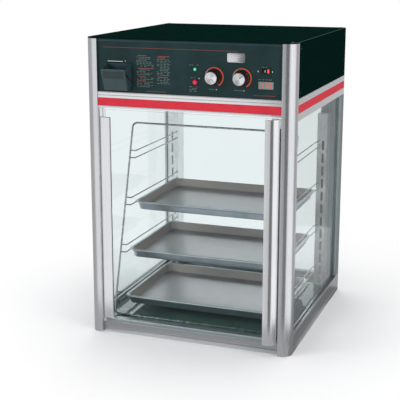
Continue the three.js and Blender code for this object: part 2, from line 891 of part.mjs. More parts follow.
function switchFrame() {
  const bodyHalf = (switchPocketWidth + switchBezel) / 2;
  const bodyRise = (switchPocketHeight + switchBezel) / 2;
  const body = join(
    block(-switchWidth / 2, switchWidth / 2, -seat - switchBezel, -seat, -switchHeight / 2, switchHeight / 2),
    block(-bodyHalf, bodyHalf, -switchBezel, switchDepth, -bodyRise, bodyRise),
  );
  const pocket = block(-switchPocketWidth / 2, switchPocketWidth / 2, -switchBezel - overrun,
    switchDepth - 2 * switchBezel, -switchPocketHeight / 2, switchPocketHeight / 2);
  const pinReach = switchPocketHeight / 2 + rockerPinReach / 2;
  return cut(body, pocket, post(rockerPinRadius + shaftPlay, 0, 0, -pinReach, pinReach));
}

function rocker() {
  const half = switchPocketHeight / 2 - shaftPlay;
  const plan = outline([[-rockerHalf, -rockerWing], [0, -rockerWaist], [rockerHalf, -rockerWing],
    [rockerHalf, -rockerWing / 2], [rockerHeel, rockerHeel], [-rockerHeel, rockerHeel],
    [-rockerHalf, -rockerWing / 2]]);
  const pinReach = half + rockerPinReach / 2;
  return join(raised(plan, -half, half), post(rockerPinRadius, 0, 0, -pinReach, pinReach));
}

add('power_switch_frame', switchFrame(), blackPlastic, switchGroup);
add('power_rocker', rocker(), redLens, switchGroup).rotation.z = THREE.MathUtils.degToRad(rockerTilt);

// Temperature display

function displayModule() {
  const half = displayWidth / 2;
  const rise = displayHeight / 2;
  const inner = displayBezel / 2;
  const body = join(
    block(-half, half, -displayFront - seat, -seat, -rise, rise),
    block(-half + inner, half - inner, -displayFront, displayDepth, -rise + inner, rise - inner),
  );
  const glass = block(-half + displayBezel, half - displayBezel, -displayFront - overrun, -displayFront + seat,
    -rise + displayBezel, rise - displayBezel);
  return cut(body, glass);
}

add('temperature_display', displayModule(), displayGrey).position.set(displayX, panelFront,
  headRailTop + displayRise);

// Water-fill cup: a tapered scoop, open at the top and the back, that tilts on two pins

const cup = new THREE.Group();
cup.position.set(cupX, cupHingeY + earRadius, cupBottom);
cabinet.add(cup);

function cupSide(inset) {
  const back = -panelSheet / 2 - earRadius;
  const low = inset;
  const lip = [back - cupLipReach + inset, cupLipRise - cupRise];
  const foot = [back - cupFootReach + inset, low];
  const tail = cupTail - earRadius;
  if (inset === 0) {
    return outline([foot, [tail, low], [tail, cupLipRise / 2], [back, cupBackRise - cupRise], lip]);
  }
  return outline([foot, [tail + overrun, low], [tail + overrun, cupBackRise + overrun],
    [lip[0], cupBackRise + overrun], lip]);
}

// A cross section of the scoop seen from the front, narrower at its foot
function cupFront(inset) {
  const top = cupBackRise + overrun * Math.sign(inset);
  const wide = cupWidth / 2 - inset;
  const narrow = wide - cupTaper / 2;
  return outline([[-narrow, -overrun], [narrow, -overrun], [wide, top], [-wide, top]]);
}

function cupPrism(inset) {
  const span = cupWidth + 2 * overrun;
  const depth = cupLipReach + cupTail + 4 * overrun;
  const sideways = new THREE.ExtrudeGeometry(cupSide(inset), { depth: span, bevelEnabled: false })
    .applyMatrix4(new THREE.Matrix4().makeBasis(Y, Z, X).setPosition(-span / 2, 0, 0));
  const endways = new THREE.ExtrudeGeometry(cupFront(inset), { depth, bevelEnabled: false })
    .applyMatrix4(new THREE.Matrix4().makeBasis(X, Z, backY).setPosition(0, cupTail + 2 * overrun, 0));
  return overlapOf(sideways, endways);
}

function fillCup() {
  const back = -panelSheet / 2 - earRadius;
  const lipY = back - cupLipReach;
  const lipZ = cupLipRise - cupRise;
  const footY = back - cupFootReach;
  const lean = Math.atan2(footY - lipY, lipZ);
  const slotRun = Math.hypot(cupSlotBack, cupSlotLow - cupSlotHigh + cupSlotWidth);
  const slotTilt = Math.atan2(cupSlotLow - cupSlotHigh, cupSlotBack);
  const stopSlot = block(-cupWidth, cupWidth, 0, slotRun, -cupSlotWidth / 2, cupSlotWidth / 2)
    .rotateX(-slotTilt)
    .translate(0, lipY + 2 * cupWall + cupWall, lipZ - cupSlotHigh);
  const labelHalf = cupWidth / 2 - cupTaper - cupWall;
  const label = block(-labelHalf, labelHalf, -overrun, cupLabelDepth, -cupLabelTop - cupLabelHeight, -cupLabelTop)
    .rotateX(lean)
    .translate(0, lipY, lipZ);
  const reach = cupWidth / 2 + cupGap + cupPinReach - cupTaper / 2;
  const pins = join(pin(cupPinRadius, 0, 0, -reach, -cupWidth / 2 + cupTaper), pin(cupPinRadius, 0, 0,
    cupWidth / 2 - cupTaper, reach));
  return cut(join(cut(cupPrism(0), cupPrism(cupWall)), pins), stopSlot, label);
}

add('water_fill_cup', fillCup(), greyPlastic, cup);

// Door: a glass leaf clamped between a hinge stile and a full-height handle, drawn from its hinge line

const door = new THREE.Group();
door.position.set(hingeX, hingeY, 0);
cabinet.add(door);

const doorEdge = right - postWidth - doorSideGap - hingeX;

function doorGlass() {
  const reach = doorEdge - handleWall - glassPlay;
  return block(stileChannel + glassPlay, reach, -halfGlass, halfGlass, doorBottom, doorTop);
}

function hingeStile() {
  const clamp = block(0, stileWidth, -clampOutside, clampOutside, stileBottom, stileTop);
  const channel = block(stileChannel, stileWidth + overrun, -clampInside, clampInside,
    stileBottom - overrun, stileTop + overrun);
  const barrel = post(hingeBarrelRadius, 0, 0, stileBottom, stileTop, fineSteps);
  const corner = block(-hingeBarrelRadius, hingeBarrelRadius / 2, -clampOutside - overrun, clampOutside + overrun,
    stileBottom - overrun, stileTop + overrun);
  const bore = post(hingePinRadius + hingePinPlay, 0, 0, stileBottom - overrun, stileTop + overrun);
  return cut(join(cut(clamp, corner, channel), barrel), bore);
}

function doorHandle() {
  const nose = -clampOutside;
  const faceY = nose - handleRadius;
  const bite = doorEdge - handleBite;
  const inner = doorEdge - handleWall;
  const centre = doorEdge - handleRadius;
  const shape = new THREE.Shape();
  shape.moveTo(doorEdge - handleWidth, faceY);
  shape.lineTo(centre, faceY);
  shape.absarc(centre, nose, handleRadius, -quarterTurn, 0, false);
  shape.lineTo(doorEdge, clampOutside);
  shape.lineTo(bite, clampOutside);
  shape.lineTo(bite, clampInside);
  shape.lineTo(inner, clampInside);
  shape.lineTo(inner, -clampInside);
  shape.lineTo(bite, -clampInside);
  shape.lineTo(bite, nose);
  shape.lineTo(inner, nose);
  shape.absarc(centre, nose, handleRadius - handleWall, 0, -quarterTurn, true);
  shape.lineTo(doorEdge - handleWidth, faceY + handleWall);
  return raised(shape, doorBottom, doorTop, 2 * cornerSteps);
}

add('door_glass', doorGlass(), clearGlass, door);
add('door_hinge_stile', hingeStile(), satinAluminium, door);
add('door_handle', doorHandle(), brightAluminium, door);

function topPivot() {
  const bottom = stileTop + pivotGap;
  const top = frontHeadRailBottom - seat;
  return join(
    block(hingeX - pivotHalf, hingeX + pivotHalf, hingeY - pivotHalf / 2, hingeY + pivotHalf, bottom, top),
    post(hingePinRadius, hingeX, hingeY, bottom - hingePinLength, bottom + pivotGap),
  );
}

function bottomPivot() {
  const top = stileBottom - pivotGap;
  const back = front + sillSetback - seat;
  return join(
    block(hingeX - pivotHalf, hingeX + pivotHalf, hingeY - pivotHalf, back, doorBottom, top),
    post(hingePinRadius, hingeX, hingeY, top - pivotGap, top + hingePinLength),
  );
}

add('door_pivot_top', topPivot(), brightAluminium);
add('door_pivot_bottom', bottomPivot(), brightAluminium);

function magneticCatch() {
  const inner = right - postWidth - seat;
  const near = hingeY + clampOutside + catchGap;
  return block(inner - catchWidth, inner, near, near + catchDepth, sillHeight + catchEnds, doorTop - catchEnds);
}

add('door_catch_strip', magneticCatch(), magnetBlack);

// Wire rack: a leaning front hoop, and at each level a supporting wire with a guard wire above it

const hoopHalfWidth = right - hoopSideInset;
const runnerHalfWidth = right - runnerSideInset;
const runnerTipHalfWidth = right - runnerTipSideInset;
const hoopTop = headRailBottom - hoopDrop;
const levelPitch = (hoopTop - topLevelDrop - firstLevel) / (rackLevels - 1);
const hoopFoot = deckHeight + hoopWireRadius + seat;
const hoopLean = (hoopTopInset - hoopFootInset) / (hoopTop - hoopFoot);
const pilasterFace = rear - pilasterRearInset;
const pilasterTop = headRailBottom - pilasterDrop;
const pilasterTopSlot = pilasterTop - pilasterTopSlotDrop;
const pilasterSlotPitch = (pilasterTopSlot - pilasterLowSlot) / (pilasterSlots - 1);
const pilasterSlotHeight = pilasterSlotPitch - pilasterSlotBridge;

function hoopY(z) {
  return front + hoopFootInset + hoopLean * (z - hoopFoot);
}

function onHoop(x, z) {
  return at(x, hoopY(z), z);
}

function runnerWire(side, z) {
  const corners = [
    onHoop(side * hoopHalfWidth, z),
    onHoop(side * runnerHalfWidth, z),
    at(side * runnerHalfWidth, pilasterFace - 2 * runnerTipRun, z),
    at(side * runnerTipHalfWidth, pilasterFace - runnerTipRun, z),
    at(side * runnerTipHalfWidth, pilasterFace + runnerTipReach, z),
  ];
  return tube(withBends(corners, runnerBend), runnerWireRadius, wireSides);
}

function footWire(side) {
  const start = at(side * (runnerHalfWidth - hoopBend), hoopY(hoopFoot), hoopFoot);
  const end = at(side * (runnerHalfWidth - hoopBend), pilasterFace - seat, hoopFoot);
  return tube([start, end], runnerWireRadius, wireSides);
}

function rackSide(side) {
  const inner = side * (runnerHalfWidth - hoopBend - hoopWireRadius);
  const corners = [onHoop(inner, hoopFoot), onHoop(side * hoopHalfWidth, hoopFoot),
    onHoop(side * hoopHalfWidth, hoopTop), onHoop(inner, hoopTop)];
  const wires = [tube(withBends(corners, hoopBend), hoopWireRadius, hoopSides), footWire(side)];
  for (let level = 0; level < rackLevels; level += 1) {
    const z = firstLevel + levelPitch * level;
    wires.push(runnerWire(side, z), runnerWire(side, z + guardRise));
  }
  return join(...wires);
}

function crossWire(z) {
  const reach = runnerHalfWidth - hoopBend - hoopWireRadius - wireJoint;
  return tube([onHoop(-reach, z), onHoop(reach, z)], hoopWireRadius, hoopSides);
}

add('rack_side_left', rackSide(-1), wireChrome);
add('rack_side_right', rackSide(1), wireChrome);
add('rack_top_wire', crossWire(hoopTop), wireChrome);
add('rack_bottom_wire', crossWire(hoopFoot), wireChrome);

// Slotted pilasters that hold the back ends of the rack wires

function pilaster(side) {
  const bottom = deckHeight + seat;
  const outer = right - postWidth - seat;
  const inner = outer - pilasterWidth;
  const section = outline([[outer, pilasterDepth], [outer, 0], [inner, 0], [inner, pilasterDepth],
    [inner + sheet, pilasterDepth], [inner + sheet, sheet], [outer - sheet, sheet], [outer - sheet, pilasterDepth]]);
  const channel = raised(section, bottom, pilasterTop).translate(0, pilasterFace, 0);
  const tools = [];
  for (let index = 0; index < pilasterSlots; index += 1) {
    const z = pilasterTopSlot - pilasterSlotPitch * index;
    const x = outer - pilasterSlotInset;
    const round = pilasterSlotWidth / 2;
    const low = Math.max(z - pilasterSlotHeight / 2, bottom + sheet) + round;
    const high = z + pilasterSlotHeight / 2 - round;
    tools.push(block(x - round, x + round, pilasterFace - overrun, pilasterFace + overrun, low, high));
    for (const end of [low, high]) {
      tools.push(rod(round, x, end, pilasterFace - overrun, pilasterFace + overrun, pilasterSlotSides));
    }
  }
  for (let level = 0; level < rackLevels; level += 1) {
    for (const rise of [0, guardRise]) {
      const z = firstLevel + levelPitch * level + rise;
      tools.push(rod(runnerWireRadius + wireHolePlay, runnerTipHalfWidth, z, pilasterFace - overrun,
        pilasterFace + overrun, hoopSides));
    }
  }
  const made = cut(channel, ...tools);
  return side < 0 ? mirrored(made) : made;
}

// The same solid on the other side of the case's middle plane
function mirrored(geometry) {
  const copy = geometry.clone().scale(-1, 1, 1);
  const triangles = copy.index.array;
  for (let start = 0; start < triangles.length; start += 3) {
    [triangles[start], triangles[start + 1]] = [triangles[start + 1], triangles[start]];
  }
  return copy;
}

add('pilaster_left', pilaster(-1), galvanised);
add('pilaster_right', pilaster(1), galvanised);

// Sheet pans: a tapered tray with a thick rolled rim

const panWidth = caseWidth - 2 * panSideInset;
const panLength = caseDepth - panDoorRoom;

function panPlan(inset) {
  const radius = Math.max(panCornerRadius - inset, panWall);
  return roundedPlan(-panWidth / 2 + inset, panWidth / 2 - inset, inset, panLength - inset,
    [radius, radius, radius, radius]);
}

function taperedTray(inset, z0, z1) {
  const tray = raised(panPlan(inset + panFlare), z0, z1);
  const place = tray.getAttribute('position');
  const middle = panLength / 2;
  for (let index = 0; index < place.count; index += 1) {
    if (place.getZ(index) > (z0 + z1) / 2) {
      const x = place.getX(index);
      const y = place.getY(index) - middle;
      const wide = (panWidth / 2 - inset) / (panWidth / 2 - inset - panFlare);
      const long = (middle - inset) / (middle - inset - panFlare);
      place.setXY(index, x * wide, middle + y * long);
    }
  }
  return tray;
}

function sheetPan() {
  const rim = raised(panPlan(0), -panRimThickness, 0);
  const outside = taperedTray(panRimWidth, -panDepth, -panRimThickness / 2);
  const inside = taperedTray(panRimWidth + panWall, -panDepth + panWall, overrun);
  return cut(join(rim, outside), inside);
}

['bottom', 'middle', 'top'].forEach((name, level) => {
  const rest = firstLevel + levelPitch * level + runnerWireRadius + seat;
  add(`sheet_pan_${name}`, sheetPan(), panAluminium)
    .position.set(0, pilasterFace - panRearGaps[name] - panLength, rest + panRimThickness);
});

// Air system: a plenum over the ceiling with a fan wheel, its motor and a heater ring

const plenumTop = ceilingTop + seat + plenumHeight;
const fanFloor = ceilingTop + fanFloorGap;
const heaterZ = ceilingTop + heaterRise;
const plenumFront = fanY - plenumSize / 2;

function airPlenum() {
  const half = plenumSize / 2;
  const shell = block(-half, half, fanY - half, fanY + half, ceilingTop + seat, plenumTop);
  const inside = block(-half + sheet, half - sheet, fanY - half + sheet, fanY + half - sheet,
    ceilingTop - overrun, plenumTop - sheet);
  const shaftHole = post(fanHubRadius, 0, fanY, plenumTop - overrun, plenumTop + overrun);
  const legHoles = [-1, 1].map((side) => rod(heaterTubeRadius + seat, side * heaterLegs, heaterZ,
    plenumFront - overrun, plenumFront + overrun));
  return cut(shell, inside, shaftHole, ...legHoles);
}

function fanWheel() {
  const discZ = fanBladeHeight;
  const top = plenumTop + motorHeight / 2 - fanFloor;
  const hub = turned([[0, 0], [fanHubRadius, 0], [fanHubRadius, discZ], [fanRadius, discZ],
    [fanRadius, discZ + fanDisc], [fanShaftRadius, discZ + fanDisc], [fanShaftRadius, top], [0, top]], Z);
  const blades = [];
  for (let index = 0; index < fanBlades; index += 1) {
    const blade = block(fanRadius - fanBladeLength, fanRadius, -fanBladeThickness / 2, fanBladeThickness / 2,
      0, discZ + fanDisc / 2);
    blades.push(blade.rotateZ((fullTurn * index) / fanBlades));
  }
  return join(hub, ...blades);
}

function fanMotor() {
  const bore = fanShaftRadius + shaftPlay;
  const boreTop = motorHeight / 2 + shaftPlay;
  return turned([[0, boreTop], [bore, boreTop], [bore, 0], [motorFlangeRadius, 0], [motorFlangeRadius, motorFlange],
    [motorRadius, motorFlange], [motorRadius, motorHeight], [0, motorHeight]], Z);
}

function airHeater() {
  const tail = plenumFront - heaterTail;
  const reach = Math.sqrt(heaterRing * heaterRing - heaterLegs * heaterLegs);
  const opening = Math.asin(heaterLegs / heaterRing);
  const points = [at(-heaterLegs, tail, heaterZ), at(-heaterLegs, fanY - reach, heaterZ)];
  const first = -quarterTurn - opening;
  const sweep = fullTurn - 2 * opening;
  for (let step = 1; step < fineSteps; step += 1) {
    const angle = first - (sweep * step) / fineSteps;
    points.push(at(heaterRing * Math.cos(angle), fanY + heaterRing * Math.sin(angle), heaterZ));
  }
  points.push(at(heaterLegs, fanY - reach, heaterZ), at(heaterLegs, tail, heaterZ));
  return tube(points, heaterTubeRadius, hoopSides);
}

add('air_plenum', airPlenum(), galvanised);
add('fan_wheel', fanWheel(), galvanised).position.set(0, fanY, fanFloor);
add('fan_motor', fanMotor(), magnetBlack).position.set(0, fanY, plenumTop + seat);
add('air_heater', airHeater(), stainless);

// Humidity tank under the fill cup, with its immersion heater

const tankLeft = left + railDepth + tankSideInset;
const tankRight = tankLeft + tankWidth;
const tankFront = headRailBack + tankFrontGap;
const tankLength = plenumFront - tankRearGap - tankFront;
const tankFloor = ceilingTop + seat;
const elementZ = tankFloor + elementRise + elementFlange;

function waterTank() {
  const tank = block(tankLeft, tankRight, tankFront, tankFront + tankLength, tankFloor, tankFloor + tankHeight);
  const inside = block(tankLeft + sheet, tankRight - sheet, tankFront + sheet, tankFront + tankLength - sheet,
    tankFloor + sheet, tankFloor + tankHeight + overrun);
  const hole = pin(elementPlug + seat, tankFront + tankLength / 2, elementZ,
    tankRight - overrun, tankRight + overrun);
  return cut(tank, inside, hole);
}

function tankHeater() {
  const y = tankFront + tankLength / 2;
  const z = elementZ;
  const inner = tankRight - sheet - 2 * elementRadius;
  const end = inner - elementLength;
  const half = elementSpread / 2;
  const loop = withBends([at(inner + elementRadius, y - half, z), at(end, y - half, z), at(end, y + half, z),
    at(inner + elementRadius, y + half, z)], elementBend);
  return join(
    tube(loop, elementRadius, hoopSides),
    pin(elementPlug, y, z, inner, tankRight + 2 * seat),
    pin(elementFlange, y, z, tankRight + seat, tankRight + seat + elementFlangeThickness, wireSides),
  );
}

add('water_tank', waterTank(), stainless);
add('tank_heater', tankHeater(), stainless);

// Control board on four legs, with its transformer and relays

function controlBoard() {
  const y = front + boardBehindFront;
  const foot = ceilingTop + seat;
  const plateZ = foot + boardRise;
  const plateTop = plateZ + boardThickness;
  const x1 = right - boardInset + boardWidth / 2;
  const x0 = x1 - boardWidth;
  const [y0, y1] = [y - boardLength / 2, y + boardLength / 2];
  const pieces = [block(x0, x1, y0, y1, plateZ, plateTop)];
  for (const x of [x0 + boardLegInset, x1 - boardLegInset]) {
    for (const legY of [y0 + boardLegInset, y1 - boardLegInset]) {
      pieces.push(post(boardLegRadius, x, legY, foot, plateZ + boardThickness / 2, hoopSides));
    }
  }
  const sunk = plateTop - boardThickness / 2;
  const inset = 2 * boardLegInset;
  pieces.push(block(x0 + inset, x0 + inset + transformerWidth, y0 + inset, y0 + inset + transformerLength,
    sunk, plateTop + transformerHeight));
  for (let index = 0; index < 2; index += 1) {
    const x = x0 + 2 * inset + transformerWidth + relayPitch * index;
    pieces.push(block(x, x + relayWidth, y1 - inset - relayLength, y1 - inset, sunk, plateTop + relayHeight));
  }
  return join(...pieces);
}

add('control_board', controlBoard(), boardGreen);

// The whole part stands on z = 0 with its origin under the middle of its outside box
const frontMost = panelFront - cupLipReach;
const rearMost = rear + seat + glandFlangeHeight;
cabinet.position.y = -(frontMost + rearMost) / 2;

export default cabinet;
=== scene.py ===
"""Dresses the heated holding cabinet: finishes, panel print, controls, wires, trays, fasteners and the studio."""

import json
import math

import bmesh
import bpy
from bpy.props import FloatProperty, FloatVectorProperty, IntProperty, PointerProperty, StringProperty
from mathutils import Matrix, Vector

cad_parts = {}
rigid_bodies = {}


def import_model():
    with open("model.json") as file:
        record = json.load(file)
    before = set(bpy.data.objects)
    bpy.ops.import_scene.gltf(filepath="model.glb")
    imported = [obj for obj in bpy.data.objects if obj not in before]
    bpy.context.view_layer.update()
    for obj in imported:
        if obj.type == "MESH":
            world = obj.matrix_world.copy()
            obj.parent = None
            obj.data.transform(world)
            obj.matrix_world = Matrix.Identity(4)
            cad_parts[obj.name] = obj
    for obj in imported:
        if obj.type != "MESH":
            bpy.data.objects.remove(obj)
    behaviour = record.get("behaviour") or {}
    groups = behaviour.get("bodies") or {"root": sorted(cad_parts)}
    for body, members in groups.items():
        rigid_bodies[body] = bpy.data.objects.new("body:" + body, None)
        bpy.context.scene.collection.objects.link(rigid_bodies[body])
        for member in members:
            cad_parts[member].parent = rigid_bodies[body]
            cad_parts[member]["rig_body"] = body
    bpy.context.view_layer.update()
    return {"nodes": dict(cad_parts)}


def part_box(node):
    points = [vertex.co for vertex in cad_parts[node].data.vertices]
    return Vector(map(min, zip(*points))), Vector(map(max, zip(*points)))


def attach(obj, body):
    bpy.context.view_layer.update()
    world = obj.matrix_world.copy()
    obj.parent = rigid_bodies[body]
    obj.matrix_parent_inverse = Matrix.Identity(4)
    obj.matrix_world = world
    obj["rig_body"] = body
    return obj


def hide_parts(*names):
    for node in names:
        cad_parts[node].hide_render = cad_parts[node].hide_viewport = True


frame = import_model()

bl_info = {
    "name": "Heated Holding Cabinet",
    "version": (1, 0, 0),
    "blender": (4, 5, 0),
    "location": "3D View > Sidebar > Cabinet",
    "description": "Builds the finishes and fine details of a heated holding cabinet on its packed frame",
    "category": "Object",
}

NODES = frame["nodes"]
X = Vector((1, 0, 0))
Y = Vector((0, 1, 0))
Z = Vector((0, 0, 1))
MM = 0.001
EVEN = (1, 1, 1)

# Measures in metres
WELD = 2e-6  # points nearer than this are one
PANEL_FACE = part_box("control_panel")[0].y + 0.0035  # the upright face of the control panel
TUCK = 0.0002  # how far trim sinks into what carries it
PRINT_SUNK = 0.0003  # how far print sinks into the panel
TRIM_EDGE = 0.0003  # rounding of thin trim
FLUTE_DEPTH = 0.0007  # how deep the grip flutes are cut
BOARD_TOP = 0.0165  # the board's face over its lowest corner
# The strip behind each pilaster's slots is a dark sheet that stands for the shade inside the channel: painted shade.
STRIP_INNER, STRIP_OUTER = 0.0112, 0.0016  # how far the strip behind a pilaster's slots stands in from its walls
VINYL_IN, VINYL_GAP = 0.0006, 0.0005  # how far a glazing strip keeps from its post's outer face and from the glass
RIB_END, RIB_STEP, RIB_RADIUS = 0.001, 0.0075, 0.0012  # the head rails' drawn ribs
LIP_DROP, LIP_RADIUS = 0.0012, 0.0009  # the base rails' lips, down from the top
BEAD_IN, BEAD_RADIUS = 0.0012, 0.0011  # the glazing beads, in from the rails


# Settings


def linear(hex_colour):
    """Linear red, green and blue of an sRGB hex value."""
    channels = [int(hex_colour[start : start + 2], 16) / 255 for start in (0, 2, 4)]
    return tuple(c / 12.92 if c <= 0.04045 else ((c + 0.055) / 1.055) ** 2.4 for c in channels)


def colour(name, description, hex_colour):
    return FloatVectorProperty(
        name=name, description=description, subtype="COLOR", size=3, min=0, max=1, default=linear(hex_colour)
    )


def length(name, description, millimetres):
    return FloatProperty(
        name=name, description=description, unit="LENGTH", min=0, default=millimetres * MM, precision=5
    )


class CabinetColours(bpy.types.PropertyGroup):
    """Colours of the cabinet's finishes."""

    satin: colour("Satin aluminium", "Posts", "E4E5E8")
    # Base aluminium is a little rougher than the posts. It is also darker, as painted shade for the floor's shade
    # that the base rails reflect.
    base: colour("Base aluminium", "Base rails, duller than the posts", "BFC1C5")
    # Shaded aluminium is a darker copy of the posts' aluminium: painted shade on the right rear post and on the
    # pilasters' hangers.
    shaded: colour("Shaded aluminium", "Right rear post and brackets, left as extruded", "8C989C")
    satin_dark: colour("Satin aluminium, grain", "The darker die lines of the extrusions", "D9DADE")
    bright: colour("Bright aluminium", "Head rails, and the door's handle, stile and pivots", "F1F1F4")
    bright_dark: colour("Bright aluminium, grain", "The darker die lines of the bright extrusions", "E6E7EB")
    steel: colour("Stainless steel", "Ceiling, fan, heaters and screws", "AEB3B6")
    # Dull zinc: dark strips behind the pilasters' slots, painted shade for the shade inside the channels.
    zinc: colour("Zinc plate", "Pilasters and hidden sheet metal", "F4F7F6")
    zinc_slot_shade: colour("Dull zinc", "Mounting strips behind the pilasters", "4C5860")
    panel: colour("Control panel", "Printed overlay of the control panel", "1F3234")
    panel_lift: colour("Control panel, high", "The lighter grain of the overlay", "253A3C")
    # Panel band: a painted highlight, the overlay made lighter where the panel's top leans back.
    panel_top_sheen: colour("Panel band", "The lighter band along the panel's leaning top", "35494D")
    lid: colour("Lid and covers", "Dark paint of the lid and the head covers", "041A17")
    # Lid edge: a painted highlight along the lid's rounded long edges.
    lid_edge_sheen: colour("Lid edge", "Paint worn thin along the lid's long edges", "3C4B48")
    deck: colour("Deck enamel", "Glossy chamber floor", "5F867C")
    stripe: colour("Stripe", "Trim strip of the head rails", "D53A47")
    glass: colour("Glass", "Tempered panes", "F3F8F8")
    glass_edge: colour("Glass edge", "Ground edges of the panes", "BCCFCB")
    wire: colour("Wire", "Plated rack wires", "CDCBCA")
    pan: colour("Sheet pan", "Pressed aluminium of the pans", "B6BEC8")
    pan_stain: colour("Baked stain", "Old stains on the pans", "6B6560")
    pan_rim: colour("Rubbed rim", "Bright line along the pans' rolled rims", "F0F5FA")
    # Rim line: a pale matt line on the pans' beads, partly wear from the wires and partly a painted highlight.
    pan_warm: colour("Warm wall", "Inner walls of the pans, browned by baking", "C4BAB5")
    black: colour("Black plastic", "Knobs, switch and gland", "141718")
    grey: colour("Cup plastic", "Water-fill cup", "2C4044")
    grey_band: colour("Cup band", "Recessed band on the cup's flap", "223337")
    # Draught strip: the pale strip at the left rear post is a lit copy of the right one's vinyl, painted light.
    gasket: colour("Draught strip", "Pale strips at the door's stile and the left rear post", "D4D5D9")
    catch: colour("Catch strip", "Grey magnetic strip that holds the door", "A9AAAE")
    # Glazing vinyl: the right strip's grey is painted shade, a shaded copy of the pale strip at the left.
    vinyl: colour("Glazing vinyl", "Strip that holds the right pane to its rear post", "98A4A4")
    cap: colour("Knob cap", "Spun aluminium of the knob caps", "F2F2F5")
    green: colour("Green lens", "Upper lamp", "1F9E6F")
    green_glow: colour("Green glow", "Lit middle of the upper lamp", "63E0B0")
    red: colour("Red lens", "Lower lamp", "C1143A")
    red_glow: colour("Red glow", "Lit middle of the lower lamp", "CC2444")
    display: colour("Display window", "Window of the temperature display", "76817F")
    digit: colour("Digits", "Lit segments of the display", "E4503C")
    ink_red: colour("Red ink", "The red end of the scale arcs", "E2502F")
    ink_dim: colour("Dim red ink", "Thin rules and headings", "9A4A3C")
    ink_pale: colour("Pale ink", "Marks, and the pale end of the scale arcs", "DDE3DF")
    ink_grey: colour("Grey ink", "Fine print", "7A8C86")
    rubber: colour("Rubber", "Glazing beads", "55585C")
    board: colour("Circuit board", "Solder mask of the control board", "1F5A3C")
    floor: colour("Floor", "Studio floor", "FBFBFC")


class CabinetSizes(bpy.types.PropertyGroup):
    """Sizes of the cabinet's fine details."""

    edge: length("Sheet edge", "Rounding of folded sheet edges", 0.6)
    extrusion_edge: length("Extrusion edge", "Rounding of the extrusions' edges", 0.5)
    moulded_edge: length("Moulded edge", "Rounding of plastic edges", 0.8)
    knob_skirt: length("Knob skirt", "Radius of a knob's skirt", 20)
    knob_body: length("Knob body", "Radius of a knob's grip", 17.6)
    knob_reach: length("Knob reach", "How far a knob stands from the panel", 27)
    arc_radius: length("Arc radius", "Middle radius of a dial's scale arc", 24)
    arc_width: length("Arc width", "Widest part of a scale arc", 3.3)
    ink: length("Ink", "How far print stands from the panel", 0.12)
    hoop_wire: length("Hoop wire", "Radius of the rack's hoop", 2.75)
    runner_wire: length("Runner wire", "Radius of the rack's runner wires", 1.75)
    screw: length("Screw head", "Radius of a cover screw's head", 3.4)
    pan_wall: length("Pan wall", "Thickness of a sheet pan", 1.2)
    lens: FloatProperty(name="Lens", description="Focal length of the camera in mm", default=87.96)
    flutes: IntProperty(name="Flutes", description="Grip flutes round a knob", default=36, min=8)
    reading: StringProperty(name="Reading", description="Number on the temperature display", default="175")


class CabinetSettings(bpy.types.PropertyGroup):
    """Everything that a user would change."""

    colours: PointerProperty(type=CabinetColours)
    sizes: PointerProperty(type=CabinetSizes)


def colours():
    return bpy.context.scene.cabinet.colours


def sizes():
    return bpy.context.scene.cabinet.sizes


# Node trees


def add_node(tree, kind, inputs=None, **settings):
    """A node with its settings, and with links or values for its inputs, by name or by number."""
    made = tree.nodes.new(kind)
    for key, value in settings.items():
        setattr(made, key, value)
    for key, value in (inputs or {}).items():
        socket = made.inputs[key]
        if isinstance(value, bpy.types.NodeSocket):
            tree.links.new(value, socket)
        else:
            socket.default_value = (*value, 1.0)[:4] if socket.type == "RGBA" else value
    return made


def grain(tree, spacing, stretch=EVEN, detail=3.0):
    """Noise on Object coordinates: its grains lie spacing millimetres apart, or longer where stretch is over 1."""
    place = add_node(tree, "ShaderNodeTexCoord").outputs["Object"]
    scale = tuple(1 / (spacing * MM * s) for s in stretch)
    mapped = add_node(tree, "ShaderNodeMapping", {"Vector": place, "Scale": scale}).outputs[0]
    return add_node(tree, "ShaderNodeTexNoise", {"Vector": mapped, "Scale": 1.0, "Detail": detail}).outputs["Fac"]


def spread(tree, field, low, high, start=0.3, end=0.7, share=1.0):
    """The field from start to end, spread over two numbers, or over two tones up to a share of the second."""
    if isinstance(low, (int, float)):
        values = {"Value": field, 1: start, 2: end, 3: low, 4: high}
        return add_node(tree, "ShaderNodeMapRange", values, clamp=True).outputs[0]
    factor = spread(tree, field, 0, share, start, end)
    return add_node(tree, "ShaderNodeMix", {0: factor, 6: low, 7: high}, data_type="RGBA").outputs[2]


def lengthwise(axis, share):
    """A stretch that runs along one axis."""
    return tuple(share if index == axis else 1 for index in range(3))


def toned(tone, share, lift=0.0):
    """A tone made darker or paler by a share."""
    return tuple(min(1.0, c * share + lift) for c in tone)


def new_material(name):
    """A material with an empty tree."""
    material = bpy.data.materials.new(name)
    material.use_nodes = True
    material.node_tree.nodes.clear()
    return material, material.node_tree


def shown(material, surface):
    """Puts a surface on the material's output."""
    add_node(material.node_tree, "ShaderNodeOutputMaterial", {"Surface": surface})
    return material


def skin(tree, inputs, height=None, rise=0.0, strength=1.0):
    """One Principled surface. Its relief is a height from 0 to 1 that raises it by up to rise millimetres."""
    if height is not None:
        bump = add_node(tree, "ShaderNodeBump", {"Height": height, "Distance": rise * MM, "Strength": strength})
        inputs = {**inputs, "Normal": bump.outputs[0]}
    return add_node(tree, "ShaderNodeBsdfPrincipled", inputs).outputs[0]


